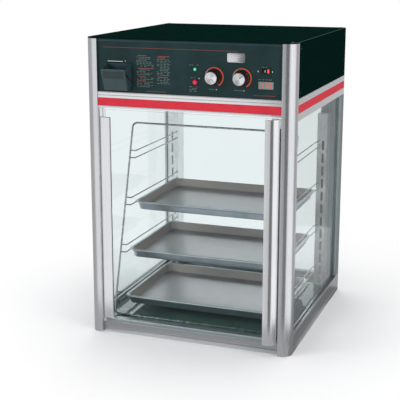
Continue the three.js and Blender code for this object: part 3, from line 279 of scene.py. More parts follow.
def grained(name, tones, shade, rough, relief, values=None, span=(0.3, 0.7)):
    """A finish of three textures. Shade blends the two tones over its span, rough is a texture with the least and the
    greatest roughness, and relief is one with its rise in millimetres and its strength. A texture is the spacing,
    stretch and detail of a grain, or two of these that multiply."""
    material, tree = new_material(name)
    fields = {}

    def field(texture):
        if texture not in fields:
            if isinstance(texture[0], tuple):
                both = dict(enumerate(field(part) for part in texture))
                fields[texture] = add_node(tree, "ShaderNodeMath", both, operation="MULTIPLY").outputs[0]
            else:
                fields[texture] = grain(tree, *texture)
        return fields[texture]

    inputs = {"Base Color": spread(tree, field(shade), *tones, *span), **(values or {})}
    if rough:
        inputs["Roughness"] = spread(tree, field(rough[0]), *rough[1:])
    return shown(material, skin(tree, inputs, field(relief[0]), *relief[1:]))


# Finishes


def extruded_aluminium(name, light, dark, axis, roughness):
    """Anodised extrusion. The die leaves straight lines along the bar, about 0.5 mm apart and drawn 1.2 mm apart
    so that they show, and the anodised skin is silky rather than mirror-like."""
    lines, clouds = (1.2, lengthwise(axis, 400), 2.0), (60, lengthwise(axis, 3), 2.0)
    rough = (lines, roughness - 0.04, roughness + 0.04)
    return grained(name, (dark, light), (lines, clouds), rough, (lines, 0.01, 0.25), {"Metallic": 0.95}, (0.12, 0.4))


def brushed_sheet(name, tone, axis, roughness, lift=0.82):
    """Stainless or zinc-plated sheet. Belt grinding leaves short scratches one way, about 0.1 mm apart and drawn
    0.8 mm apart so that they show, and rolling leaves soft clouds 35 mm wide."""
    scratches, clouds = (0.8, lengthwise(axis, 60), 3.0), (35, EVEN, 3.0)
    rough = (scratches, roughness - 0.08, roughness + 0.08)
    return grained(name, (toned(tone, lift * lift), tone), clouds, rough, (scratches, 0.02, 0.5), {"Metallic": 0.85})


def printed_overlay(name, tone, high):
    """Screen-printed polyester overlay on a folded panel. Its fine velvet texture, about 0.3 mm and drawn 0.9 mm,
    spreads the highlights."""
    velvet, clouds = (0.9, EVEN, 4.0), (45, EVEN, 2.0)
    return grained(name, (tone, high), (velvet, clouds), (velvet, 0.42, 0.56), (velvet, 0.03, 0.4),
        {"Specular IOR Level": 0.12}, (0.15, 0.4))


def cover_paint(name, tone):
    """Baked polyester paint on sheet steel. It levels into a soft orange peel, about 2 mm from crest to crest, and
    its dull skin keeps almost no gloss, only a faint bloom of dust in clouds 18 mm wide."""
    peel, dust = (2.2, EVEN, 1.0), (18, EVEN, 5.0)
    return grained(name, (tone, toned(tone, 1, 0.0015)), dust, (dust, 0.42, 0.55), (peel, 0.02, 0.1),
        {"Specular IOR Level": 0.0})


def deck_enamel(name, tone):
    """Porcelain enamel fused on steel. It is glass-smooth, with slow waves 40 mm long and specks 3.5 mm apart."""
    waves, specks = (40, EVEN, 1.0), (3.5, EVEN, 4.0)
    gloss = {"Roughness": 0.07, "IOR": 1.55, "Coat Weight": 1.0, "Coat Roughness": 0.02}
    return grained(name, (toned(tone, 0.75), tone), specks, None, (waves, 0.12, 0.3), gloss, (0.35, 0.65))


def vinyl_stripe(name, tone):
    """Calendered vinyl strip. Dyed through and smooth. The rollers leave soft clouds 25 mm wide in its gloss, and
    faint waves 6 mm apart."""
    clouds, waves = (25, EVEN, 4.0), (6, EVEN, 1.0)
    return grained(name, (toned(tone, 0.88), tone), clouds, (clouds, 0.4, 0.5), (waves, 0.02, 0.2),
        {"Specular IOR Level": 0.02})


def tempered_glass(name, tone):
    """Tempered float glass, 5 mm thick. Clear with a faint cool cast. Its index is set under the real 1.5, so that
    the panes stay as free of glare as they look, and its shadow lets the lamps through. Wiping leaves it a little
    uneven over 90 mm."""
    material, tree = new_material(name)
    wiped = spread(tree, grain(tree, 90, (1, 1, 2.5)), 0.0, 0.03, 0.45, 0.8)
    pane = skin(tree, {"Base Color": tone, "Roughness": wiped, "IOR": 1.17, "Transmission Weight": 1.0})
    shadow = add_node(tree, "ShaderNodeLightPath").outputs["Is Shadow Ray"]
    clear = add_node(tree, "ShaderNodeBsdfTransparent", {"Color": tone}).outputs[0]
    return shown(material, add_node(tree, "ShaderNodeMixShader", {0: shadow, 1: pane, 2: clear}).outputs[0])


def ground_glass_edge(name, tone):
    """Ground edge of float glass. Seen end on, the iron in it turns it green. Grinding leaves it frosted
    by grit marks of about 0.1 mm, drawn 1 mm apart so that they show."""
    frost = (1.0, EVEN, 4.0)
    return grained(name, (tone, toned(tone, 1.25)), frost, None, (frost, 0.03, 0.5), {"Roughness": 0.3})


def plated_wire(name, tone):
    """Nickel-chromium plate on drawn wire. A warm bright skin, uneven in clouds 9 mm long where the bath was thin.
    The marks of the die are finer than a pixel and drawn 1.5 mm apart."""
    clouds, drawn = (9, EVEN, 4.0), (1.5, EVEN, 2.0)
    return grained(
        name, (toned(tone, 0.72), tone), clouds, (clouds, 0.16, 0.3), (drawn, 0.02, 0.4), {"Metallic": 1.0})


def pressed_pan(name, tone, stain, rubbed_sheen, warm):
    """Pressed aluminium sheet pan. Rolled grain one way and cloth scratches the other, both under 0.3 mm and drawn
    1 and 1.6 mm apart so that they show, with baked stains in soft patches about 40 mm wide. A pale matt line along
    the upper front of the rolled bead is partly wear from the wires and partly a painted highlight, and the inside
    keeps a warm brown cast."""
    material, tree = new_material(name)
    scratches = {0: grain(tree, 1.0, (40, 1, 1)), 1: grain(tree, 1.6, (1, 14, 1), 4.0)}
    worn = add_node(tree, "ShaderNodeMath", scratches, operation="MULTIPLY").outputs[0]
    baked, rim = (
        add_node(tree, "ShaderNodeAttribute", attribute_name=key).outputs["Fac"] for key in ("baked", "rubbed_sheen"))
    grey = spread(tree, worn, toned(tone, 0.82), tone, 0.12, 0.4)
    stained = spread(tree, grain(tree, 42, EVEN, 5.0), grey, stain, 0.44, 0.72, share=0.25)
    cast = spread(tree, baked, stained, warm, 0, 1)
    covered = add_node(tree, "ShaderNodeMath", {0: baked, 1: rim}, operation="MAXIMUM").outputs[0]
    return shown(material, skin(tree, {
        "Base Color": spread(tree, rim, cast, rubbed_sheen, 0, 1), "Roughness": 0.3,
        "Metallic": spread(tree, covered, 0.88, 0.2, 0, 1)}, worn, 0.012, 0.5))


def moulded_abs(name, tone, roughness, spark=0.7):
    """Injection-moulded ABS. The mould is spark-eroded, so the skin has an even fine grain, about 0.2 mm and drawn
    0.7 mm or more, with faint clouds 20 mm wide from the flow of the melt."""
    fine, clouds = (spark, EVEN, 3.0), (20, EVEN, 3.0)
    rough = (fine, roughness - 0.06, roughness + 0.06)
    return grained(name, (tone, toned(tone, 1.18, 0.002)), clouds, rough, (fine, 0.03, 0.4))


def off_axis(tree, centre):
    """How far each point lies off the axis that runs forward through a centre, as a vector and as a length."""
    place = add_node(tree, "ShaderNodeTexCoord").outputs["Object"]
    around = add_node(tree, "ShaderNodeVectorMath", {0: place, 1: tuple(centre)}, operation="SUBTRACT").outputs[0]
    flat = add_node(tree, "ShaderNodeVectorMath", {0: around, 1: (1, 0, 1)}, operation="MULTIPLY").outputs[0]
    return flat, add_node(tree, "ShaderNodeVectorMath", {0: flat}, operation="LENGTH").outputs["Value"]


def spun_cap(name, tone, centre):
    """Spun aluminium knob cap. Lathe turning leaves rings about 0.3 mm apart, drawn 0.9 mm, as a fine relief. Its
    colour holds a painted highlight: two pale and two dark sectors round the axis that stand for the reflections
    that the rings spread."""
    material, tree = new_material(name)
    flat, radius = off_axis(tree, centre)
    turns = {0: radius, 1: 2 * math.pi / (0.9 * MM)}
    turns = add_node(tree, "ShaderNodeMath", turns, operation="MULTIPLY").outputs[0]
    rings = add_node(tree, "ShaderNodeMath", {0: turns}, operation="SINE").outputs[0]
    height = spread(tree, rings, 0, 1, -1, 1)
    parts = add_node(tree, "ShaderNodeSeparateXYZ", {0: flat}).outputs
    # Two pale and two dark sectors round the axis, painted into the colour as highlights.
    bearing = add_node(tree, "ShaderNodeMath", {0: parts["Z"], 1: parts["X"]}, operation="ARCTAN2").outputs[0]
    doubled = add_node(tree, "ShaderNodeMath", {0: bearing, 1: 2.0, 2: 0.9}, operation="MULTIPLY_ADD").outputs[0]
    painted_fans = add_node(tree, "ShaderNodeMath", {0: doubled}, operation="COSINE").outputs[0]
    return shown(material, skin(tree, {
        "Base Color": spread(tree, painted_fans, toned(tone, 0.62), tone, -1, 0.4),
        "Roughness": spread(tree, height, 0.28, 0.36, 0, 1), "Metallic": 0.75}, height, 0.004, 0.3))


def lamp_lens(name, tone, glow, centre, radius):
    """Moulded acrylic lens over a lit lamp. Dyed through and polished, brightest over the lamp in its middle,
    with a faint ripple 1.2 mm apart from the mould."""
    material, tree = new_material(name)
    lit = spread(tree, off_axis(tree, centre)[1], 1, 0, 0.1 * radius, 0.9 * radius)
    shade = spread(tree, lit, tone, glow, 0, 1)
    return shown(material, skin(tree, {
        "Base Color": shade, "Emission Color": shade, "Emission Strength": spread(tree, lit, 0.05, 0.3, 0, 1),
        "Roughness": 0.12, "IOR": 1.49, "Coat Weight": 0.8}, grain(tree, 1.2, detail=1.0), 0.03, 0.3))


def lit_segment(name, tone):
    """Light-emitting segments behind a filter window, evenly bright with soft mottling 1.5 mm apart."""
    material, tree = new_material(name)
    shade = spread(tree, grain(tree, 1.5), toned(tone, 0.8), tone)
    return shown(material, skin(tree, {
        "Base Color": shade, "Emission Color": shade, "Emission Strength": 0.45, "Roughness": 0.3}))


def screen_ink(name, tone, cover=0.8):
    """Screen-printed ink. A flat matt film that lets a little of the ground show where it is thin. The marks of the
    screen's threads, about 0.1 mm apart, are drawn 1.1 mm apart so that they show."""
    film = (1.1, EVEN, 4.0)
    return grained(name, (toned(tone, cover), tone), film, None, (film, 0.01, 0.4), {"Roughness": 0.5})


def faded_ink(name, pale, red):
    """Screen-printed scale ink that fades from pale at the low end to red, by the piece's own sweep attribute. The
    panel shows through a little where it is thin, in marks drawn 1.1 mm apart as in the other inks."""
    material, tree = new_material(name)
    sweep = add_node(tree, "ShaderNodeAttribute", attribute_name="sweep").outputs["Fac"]
    tinted = spread(tree, sweep, pale, red, 0.06, 0.34)
    thin = spread(tree, grain(tree, 1.1, detail=4.0), tinted, (0.03, 0.05, 0.05), share=0.18)
    return shown(material, skin(tree, {"Base Color": thin, "Roughness": 0.5}))


def black_rubber(name, tone):
    """Extruded synthetic rubber. Matt with a bloom of talc in clouds 8 mm wide, and fine pores, drawn 0.8 mm apart so
    that they show."""
    bloom, pores = (8, EVEN, 5.0), (0.8, EVEN, 3.0)
    return grained(name, (tone, toned(tone, 1.6, 0.004)), bloom, (bloom, 0.6, 0.8), (pores, 0.03, 0.5))


def circuit_board(name, mask, part, top):
    """Glass-epoxy board. Green solder mask with copper tracks under it, in rows 4 mm apart, and dark parts standing
    over its face."""
    material, tree = new_material(name)
    place = add_node(tree, "ShaderNodeTexCoord").outputs["Object"]
    tracks = add_node(tree, "ShaderNodeTexBrick", {
        "Vector": place, "Scale": 1.0, "Mortar Size": 0.6 * MM, "Brick Width": 13 * MM, "Row Height": 4 * MM,
    }).outputs["Fac"]
    height = add_node(tree, "ShaderNodeSeparateXYZ", {0: place}).outputs["Z"]
    above = add_node(tree, "ShaderNodeMath", {0: height, 1: top}, operation="GREATER_THAN").outputs[0]
    green = spread(tree, tracks, mask, toned(mask, 1.8), 0, 1)
    return shown(material, skin(tree, {
        "Base Color": spread(tree, above, green, part, 0, 1), "Roughness": 0.35}, tracks, 0.04, 0.5))


def finishes():
    """Every finish by its short name."""
    c = colours()
    made = {}
    for run, axis in (("across", 0), ("deep", 1), ("upright", 2)):
        for key, look, light, dark, roughness in (
            ("satin", "satin", c.satin, c.satin_dark, 0.27),
            # The base rails' darker tone is painted shade.
            ("base", "dull", c.base, toned(c.base, 0.93), 0.3),
            ("bright", "bright", c.bright, c.bright_dark, 0.22),
        ):
            made[f"{key}_{run}"] = extruded_aluminium(
                f"{look}_anodised_aluminium_{run}", light, dark, axis, roughness)
    made.update({
        "shaded": extruded_aluminium("painted_shade_aluminium", c.shaded, toned(c.shaded, 0.8), 2, 0.34),
        "steel": brushed_sheet("brushed_stainless_steel", c.steel, 0, 0.34),
        "zinc": brushed_sheet("zinc_plated_sheet", c.zinc, 2, 0.3, 0.95),
        "zinc_slot_shade": brushed_sheet("dark_zinc_plated_strip_painted_shade", c.zinc_slot_shade, 2, 0.5),
        "panel": printed_overlay("printed_polyester_overlay", c.panel, c.panel_lift),
        "panel_top_sheen": printed_overlay("printed_polyester_painted_top_highlight", c.panel_top_sheen, toned(c.panel_top_sheen, 1.2)),
        "lid": cover_paint("baked_dark_paint", c.lid),
        "lid_edge_sheen": cover_paint("dark_paint_painted_edge_highlight", c.lid_edge_sheen),
        "deck": deck_enamel("porcelain_enamel", c.deck),
        "stripe": vinyl_stripe("calendered_vinyl_strip", c.stripe),
        "glass": tempered_glass("tempered_float_glass", c.glass),
        "glass_edge": ground_glass_edge("ground_glass_edge", c.glass_edge),
        "wire": plated_wire("nickel_chromium_wire", c.wire),
        "pan": pressed_pan("pressed_aluminium_pan", c.pan, c.pan_stain, c.pan_rim, c.pan_warm),
        "black": moulded_abs("black_moulded_abs", c.black, 0.4),
        "grey": moulded_abs("grey_moulded_abs", c.grey, 0.5),
        "grey_band": moulded_abs("grey_moulded_abs_band", c.grey_band, 0.6),
        # A lighter copy of the cup's grey, painted light on the splash guard and the lip bead.
        "grey_lit_copy": moulded_abs("grey_moulded_abs_painted_light", toned(c.grey, 1.9), 0.45),
        "gasket": moulded_abs("pale_vinyl_strip_partly_painted_light", c.gasket, 0.5),
        "catch": moulded_abs("grey_magnetic_vinyl_strip", c.catch, 0.5),
        "vinyl": moulded_abs("grey_glazing_vinyl_painted_shade", c.vinyl, 0.5),
        "display": moulded_abs("display_window_polycarbonate", c.display, 0.25, 2.0),
        "digit": lit_segment("lit_display_segment", c.digit),
        "rocker_red": lit_segment("rocker_red_lens", c.digit),
        "ink_dim": screen_ink("dim_red_screen_ink", c.ink_dim),
        "ink_pale": screen_ink("pale_screen_ink", c.ink_pale),
        "ink_grey": screen_ink("grey_screen_ink", c.ink_grey, 0.7),
        "arc": faded_ink("fading_scale_ink", c.ink_pale, c.ink_red),
        "rubber": black_rubber("extruded_black_rubber", c.rubber),
        "board": circuit_board(
            "glass_epoxy_circuit_board", c.board, c.black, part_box("control_board")[0].z + BOARD_TOP),
    })
    for name in ("green", "red"):
        low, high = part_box(f"{name}_lamp")
        made[f"{name}_lens"] = lamp_lens(f"{name}_acrylic_lens", getattr(c, name), getattr(c, f"{name}_glow"),
            panel_centre(f"{name}_lamp"), (high.x - low.x) / 2)
    for name in ("humidity", "temperature"):
        made[f"{name}_cap"] = spun_cap(f"spun_aluminium_{name}_cap", c.cap, panel_centre(f"{name}_knob"))
    return made


FINISHES = {}


def finish(name):
    """A finish by its short name. All are made at the first call."""
    if not FINISHES:
        FINISHES.update(finishes())
    return FINISHES[name]


# Shapes


def body_of(node):
    return NODES[node]["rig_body"]


def panel_centre(node):
    """The point on the control panel's face behind a node's middle."""
    low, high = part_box(node)
    return Vector(((low.x + high.x) / 2, PANEL_FACE, (low.z + high.z) / 2))


def face_point(x, z, out=0.0):
    """A point on the control panel's face, from millimetres across and up and metres out."""
    return Vector((x * MM, PANEL_FACE - out, z * MM))


def smoothed(bm, angle=38.0):
    """Shades the mesh smooth, but for edges sharper than the angle."""
    limit = math.radians(angle)
    for face in bm.faces:
        face.smooth = True
    for edge in bm.edges:
        edge.smooth = edge.is_manifold and edge.calc_face_angle(0) < limit


def outward_faces(bm):
    bmesh.ops.recalc_face_normals(bm, faces=bm.faces)


def linked(name, data):
    """A new object in the scene."""
    made = bpy.data.objects.new(name, data)
    bpy.context.scene.collection.objects.link(made)
    return made


def mesh_of(name, bm, materials):
    """Turns a built mesh into plain data with its finishes."""
    mesh = bpy.data.meshes.new(name)
    bm.to_mesh(mesh)
    bm.free()
    for material in materials:
        mesh.materials.append(material)
    return mesh


def applied(made):
    """Turns what the modifiers show into the object's plain mesh, and removes them."""
    graph = bpy.context.evaluated_depsgraph_get()
    plain = bpy.data.meshes.new_from_object(
        made.evaluated_get(graph), preserve_all_data_layers=True, depsgraph=graph)
    made.modifiers.clear()
    made.data = plain
    return made


def riding(made, body, replaces=()):
    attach(made, body)
    if replaces:
        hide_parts(*replaces)
    return made


def piece(name, bm, finish_names, body="cabinet", replaces=(), weighted=False):
    """Puts a mesh in the scene as a finished piece that rides on a body."""
    made = linked(name, mesh_of(name, bm, [finish(key) for key in finish_names]))
    if weighted:
        even = made.modifiers.new("even_shading", "WEIGHTED_NORMAL")
        even.keep_sharp = True
        applied(made)
    return riding(made, body, replaces)


def welded_copy(node):
    """The node's own surface as one welded mesh, with flat areas as single faces."""
    bm = bmesh.new()
    bm.from_mesh(NODES[node].data)
    bmesh.ops.remove_doubles(bm, verts=bm.verts, dist=WELD)
    bmesh.ops.dissolve_limit(bm, angle_limit=math.radians(0.6), verts=bm.verts, edges=bm.edges)
    return bm


def rounded(bm, width, sharpest=40.0):
    """Rounds the mesh's sharp edges."""
    limit = math.radians(sharpest)
    edges = [e for e in bm.edges if e.is_manifold and e.calc_face_angle(0) > limit]
    bmesh.ops.bevel(bm, geom=edges, offset=width, segments=2, profile=0.5, affect="EDGES", clamp_overlap=True)


def softened(node, width, finish_name, sort=None, extra=()):
    """A copy of a CAD node with its edges rounded, which stands for the node. Where sort says which of its finishes
    a face has, extra names those after the first."""
    bm = welded_copy(node)
    rounded(bm, width)
    smoothed(bm, 50)
    if sort:
        for face in bm.faces:
            face.material_index = int(sort(face))
    return piece(f"{node}_dressed", bm, (finish_name, *extra), body_of(node), (node,), weighted=True)


def dress(node, finish_name):
    """Gives a CAD node a better finish and leaves its shape."""
    slots = NODES[node].data.materials
    for index in range(len(slots)):
        slots[index] = finish(finish_name)


def add_box(bm, low, high):
    """Adds a box between two corners."""
    size = [h - l for l, h in zip(low, high)]
    centre = [(h + l) / 2 for l, h in zip(low, high)]
    bmesh.ops.create_cube(bm, size=1, matrix=Matrix.Translation(centre) @ Matrix.Diagonal((*size, 1)))


def slab(name, low, high, edge, finish_name, body="cabinet"):
    """A plain strip between two corners, with rounded edges."""
    bm = bmesh.new()
    add_box(bm, low, high)
    rounded(bm, edge)
    smoothed(bm)
    piece(name, bm, (finish_name,), body)


def ring_loft(bm, rings, wrap=True, ends=True):
    """Joins rings of points with faces. A ring of one point is a pole, and closed ends get a face each."""
    made = [[bm.verts.new(point) for point in ring] for ring in rings]
    count = max(len(ring) for ring in made)
    for first, second in zip(made, made[1:]):
        for step in range(count if wrap else count - 1):
            following = (step + 1) % count
            corners = [first[step % len(first)], first[following % len(first)], second[following % len(second)],
                second[step % len(second)]]
            bm.faces.new(list(dict.fromkeys(corners)))
    if ends:
        bm.faces.new(made[0][::-1])
        bm.faces.new(made[-1])
    return made


def turned(name, profile, centre, crease, finish_name, body="cabinet", replaces=(), steps=64, flutes=0,
        fluted=()):
    """A piece turned round an axis that stands out from the panel. The profile lists radius and reach from the axis
    back to the axis, and the flutes cut the rings that fluted names."""
    turn = Z.rotation_difference(-Y).to_matrix()
    rings = []
    for index, (radius, reach) in enumerate(profile):
        ring = []
        for step in range(steps if radius > WELD else 1):
            angle = 2 * math.pi * step / steps
            dip = FLUTE_DEPTH * (0.5 - 0.5 * math.cos(flutes * angle)) if index in fluted else 0.0
            spoke = Vector(((radius - dip) * math.cos(angle), (radius - dip) * math.sin(angle), reach))
            ring.append(centre + turn @ spoke)
        rings.append(ring)
    bm = bmesh.new()
    ring_loft(bm, rings, ends=False)
    bmesh.ops.remove_doubles(bm, verts=bm.verts, dist=WELD)
    outward_faces(bm)
    smoothed(bm, crease)
    piece(name, bm, (finish_name,), body, replaces)


# Geometry Nodes

SOCKETS = {int: "NodeSocketInt", float: "NodeSocketFloat", tuple: "NodeSocketVector"}


def node_tree(name, inputs):
    """An empty geometry tree with a named input for each default, and one for the finish."""
    tree = bpy.data.node_groups.new(name, "GeometryNodeTree")
    tree.interface.new_socket("Geometry", in_out="INPUT", socket_type="NodeSocketGeometry")
    for label, default in inputs.items():
        socket = tree.interface.new_socket(label, in_out="INPUT", socket_type=SOCKETS[type(default)])
        socket.default_value = default
    tree.interface.new_socket("Material", in_out="INPUT", socket_type="NodeSocketMaterial")
    tree.interface.new_socket("Geometry", in_out="OUTPUT", socket_type="NodeSocketGeometry")
    return tree, add_node(tree, "NodeGroupInput").outputs


def ended(tree, geometry, given, smooth=True):
    """Realises the instances, sets the finish and joins the tree's output."""
    if smooth:
        geometry = add_node(tree, "GeometryNodeSetShadeSmooth", {0: geometry}).outputs[0]
    real = add_node(tree, "GeometryNodeRealizeInstances", {0: geometry}).outputs[0]
    coated = add_node(tree, "GeometryNodeSetMaterial", {0: real, "Material": given["Material"]}).outputs[0]
    add_node(tree, "NodeGroupOutput", {0: coated})
    return tree


def grown(name, tree, finish_name, values, body="cabinet", mesh=None, replaces=()):
    """Runs a geometry tree on a mesh and keeps the result as a plain piece."""
    base = linked(name, mesh or bpy.data.meshes.new(name))
    modifier = base.modifiers.new("build", "NODES")
    modifier.node_group = tree
    values = {**values, "Material": finish(finish_name)}
    for item in tree.interface.items_tree:
        if item.item_type == "SOCKET" and item.in_out == "INPUT" and item.name in values:
            modifier[item.identifier] = values[item.name]
    riding(applied(base), body, replaces)


def screw_tree():
    """Pan-head screws with a cross recess, one on each point, facing the point's own direction."""
    tree, given = node_tree("cover_screws", {"Head Radius": 0.0034})
    radius = given["Head Radius"]
    ball = add_node(tree, "GeometryNodeMeshUVSphere", {"Segments": 20, "Rings": 12, "Radius": radius}).outputs[0]
    dome = add_node(tree, "GeometryNodeTransform", {0: ball, "Scale": (1, 1, 0.5)}).outputs[0]
    wide, thin, rise = (
        add_node(tree, "ShaderNodeMath", {0: radius, 1: share}, operation="MULTIPLY").outputs[0]
        for share in (1.1, 0.24, 0.8))
    bars = []
    for across, along in (("X", "Y"), ("Y", "X")):
        size = add_node(tree, "ShaderNodeCombineXYZ", {across: wide, along: thin, "Z": wide}).outputs[0]
        bars.append(add_node(tree, "GeometryNodeMeshCube", {"Size": size}).outputs[0])
    cross = add_node(tree, "GeometryNodeJoinGeometry", {0: bars[0]})
    tree.links.new(bars[1], cross.inputs[0])
    lift = add_node(tree, "ShaderNodeCombineXYZ", {"Z": rise}).outputs[0]
    raised = add_node(tree, "GeometryNodeTransform", {0: cross.outputs[0], "Translation": lift}).outputs[0]
    head = add_node(tree, "GeometryNodeMeshBoolean", {0: dome, 1: raised}, operation="DIFFERENCE").outputs[0]
    facing = add_node(tree, "GeometryNodeInputNamedAttribute", {0: "facing"}, data_type="FLOAT_VECTOR").outputs[0]
    aligned = add_node(tree, "FunctionNodeAlignRotationToVector", {"Vector": facing}, axis="Z").outputs[0]
    angle = add_node(tree, "FunctionNodeRandomValue", {"Seed": 7, 2: 0.0, 3: 1.5}, data_type="FLOAT").outputs[1]
    spin = add_node(tree, "ShaderNodeCombineXYZ", {"Z": angle}).outputs[0]
    both = add_node(tree, "FunctionNodeRotateRotation", {0: aligned, 1: spin}, rotation_space="LOCAL").outputs[0]
    screws = add_node(tree, "GeometryNodeInstanceOnPoints", {
        0: given["Geometry"], "Instance": head, "Rotation": both})
    return ended(tree, screws.outputs[0], given, smooth=False)


def wire_tree():
    """Round wires bent along a mesh's edges. Each wire's radius is its points' own wire attribute."""
    tree, given = node_tree("bent_wires", {"Bend Radius": 0.006, "Sides": 16})
    curve = add_node(tree, "GeometryNodeMeshToCurve", {0: given["Geometry"]}).outputs[0]
    bent = add_node(tree, "GeometryNodeFilletCurve", {
        0: curve, "Count": 8, "Radius": given["Bend Radius"], "Limit Radius": True}, mode="POLY").outputs[0]
    radius = add_node(tree, "GeometryNodeInputNamedAttribute", {0: "wire"}, data_type="FLOAT").outputs[0]
    section = add_node(tree, "GeometryNodeCurvePrimitiveCircle", {"Resolution": given["Sides"], "Radius": 1.0})
    thick = add_node(tree, "GeometryNodeSetCurveRadius", {0: bent, "Radius": radius}).outputs[0]
    swept = add_node(tree, "GeometryNodeCurveToMesh", {
        0: thick, 1: section.outputs[0], "Scale": radius, "Fill Caps": True})
    return ended(tree, swept.outputs[0], given)


def weld_tree():
    """Small weld nuggets, one on each point, flattened a little at random."""
    tree, given = node_tree("weld_nuggets", {"Radius": 0.003})
    ball = add_node(tree, "GeometryNodeMeshIcoSphere", {"Radius": given["Radius"], "Subdivisions": 3}).outputs[0]
    uneven = add_node(tree, "FunctionNodeRandomValue", {
        "Seed": 3, 0: (0.8, 0.8, 0.7), 1: (1.1, 1.15, 1.0)}, data_type="FLOAT_VECTOR").outputs[0]
    nuggets = add_node(tree, "GeometryNodeInstanceOnPoints", {
        0: given["Geometry"], "Instance": ball, "Scale": uneven})
    return ended(tree, nuggets.outputs[0], given)


def print_tree():
    """Fine print as plain bars: rows of short bars of random length from a first corner down the panel's face."""
    tree, given = node_tree("fine_print", {
        "Corner": (0.0, 0.0, 0.0), "Rows": 10, "Row Pitch": 0.004, "Words": 5, "Word Pitch": 0.01,
        "Bar Height": 0.0012, "Bar Depth": 0.0002, "Seed": 1})
    seed = given["Seed"]
    drop = add_node(tree, "ShaderNodeMath", {0: given["Row Pitch"], 1: -1.0}, operation="MULTIPLY").outputs[0]
    down = add_node(tree, "ShaderNodeCombineXYZ", {"Z": drop}).outputs[0]
    rows = add_node(tree, "GeometryNodeMeshLine", {
        "Count": given["Rows"], "Start Location": given["Corner"], "Offset": down}).outputs[0]
    along = add_node(tree, "ShaderNodeCombineXYZ", {"X": given["Word Pitch"]}).outputs[0]
    words = add_node(tree, "GeometryNodeMeshLine", {"Count": given["Words"], "Offset": along}).outputs[0]
    size = add_node(tree, "ShaderNodeCombineXYZ", {
        "X": given["Word Pitch"], "Y": given["Bar Depth"], "Z": given["Bar Height"]}).outputs[0]
    bar = add_node(tree, "GeometryNodeMeshCube", {"Size": size}).outputs[0]
    row_scale, bar_scale = (
        add_node(tree, "ShaderNodeCombineXYZ", {"X": add_node(tree, "FunctionNodeRandomValue", {
            2: least, 3: most, "Seed": seed}, data_type="FLOAT").outputs[1], "Y": 1.0, "Z": 1.0}).outputs[0]
        for least, most in ((0.72, 1.12), (0.5, 0.86)))
    lines = add_node(tree, "GeometryNodeInstanceOnPoints", {0: rows, "Instance": words, "Scale": row_scale})
    spots = add_node(tree, "GeometryNodeRealizeInstances", {0: lines.outputs[0]}).outputs[0]
    kept = add_node(tree, "FunctionNodeRandomValue", {"Probability": 0.88, "Seed": seed}, data_type="BOOLEAN")
    bars = add_node(tree, "GeometryNodeInstanceOnPoints", {
        0: spots, "Selection": kept.outputs[3], "Instance": bar, "Scale": bar_scale})
    return ended(tree, bars.outputs[0], given, smooth=False)


def bead_tree():
    """Straight round beads side by side, for drawn ribs on an extrusion."""
    tree, given = node_tree("drawn_beads", {
        "Count": 3, "Step": (0.0, 0.0, 0.0), "Start": (0.0, 0.0, 0.0), "Run": (0.0, 0.0, 0.0), "Radius": 0.0006})
    line = add_node(tree, "GeometryNodeMeshLine", {
        "Count": given["Count"], "Start Location": given["Start"], "Offset": given["Step"]}).outputs[0]
    stretch = add_node(tree, "GeometryNodeCurvePrimitiveLine", {"End": given["Run"]}).outputs[0]
    section = add_node(tree, "GeometryNodeCurvePrimitiveCircle", {"Resolution": 10, "Radius": given["Radius"]})
    bead = add_node(tree, "GeometryNodeCurveToMesh", {0: stretch, 1: section.outputs[0], "Fill Caps": True})
    beads = add_node(tree, "GeometryNodeInstanceOnPoints", {0: line, "Instance": bead.outputs[0]})
    return ended(tree, beads.outputs[0], given)


def point_mesh(points, facing):
    """Loose points that all face one way."""
    mesh = bpy.data.meshes.new("points")
    mesh.from_pydata([tuple(p) for p in points], [], [])
    mesh.attributes.new("facing", "FLOAT_VECTOR", "POINT").data.foreach_set("vector", [*facing] * len(points))
    return mesh


def wire_mesh(wires):
    """Open polylines with a wire attribute: (radius, points)."""
    verts, edges, radii = [], [], []
    for radius, points in wires:
        first = len(verts)
        verts += [tuple(p) for p in points]
        radii += [radius] * len(points)
        edges += [(first + step, first + step + 1) for step in range(len(points) - 1)]
    mesh = bpy.data.meshes.new("wires")
    mesh.from_pydata(verts, edges, [])
    mesh.attributes.new("wire", "FLOAT", "POINT").data.foreach_set("value", radii)
    return mesh


def bent_wires(name, tree, wires, bend, sides, finish_name="wire", body="cabinet", replaces=()):
    """Wires bent on one radius, as a piece."""
    grown(name, tree, finish_name, {"Bend Radius": bend, "Sides": sides}, body, wire_mesh(wires), replaces)


# Studio

WHITE = (1, 1, 1)


def background_seen(tree):
    """Light that looks at the background, straight, through glass or in a mirror."""
    path = add_node(tree, "ShaderNodeLightPath").outputs
    looks = {0: path["Is Camera Ray"], 1: path["Is Transmission Ray"]}
    looked = add_node(tree, "ShaderNodeMath", looks, operation="MAXIMUM").outputs[0]
    return add_node(tree, "ShaderNodeMath", {0: looked, 1: path["Is Glossy Ray"]}, operation="MAXIMUM").outputs[0]


def studio_floor_material(tone):
    """Seamless paper. Plain and matt, and it fades to a white backdrop well away from the cabinet."""
    material, tree = new_material("seamless_paper_floor")
    paper = skin(tree, {"Base Color": tone, "Roughness": 0.9, "Specular IOR Level": 0.1})
    place = add_node(tree, "ShaderNodeTexCoord").outputs["Object"]
    away = add_node(tree, "ShaderNodeVectorMath", {0: place}, operation="LENGTH").outputs["Value"]
    shares = {0: spread(tree, away, 0, 1, 0.45, 1.2), 1: background_seen(tree)}
    share = add_node(tree, "ShaderNodeMath", shares, operation="MULTIPLY").outputs[0]
    white = add_node(tree, "ShaderNodeEmission", {"Color": WHITE, "Strength": 1.0}).outputs[0]
    return shown(material, add_node(tree, "ShaderNodeMixShader", {0: share, 1: paper, 2: white}).outputs[0])


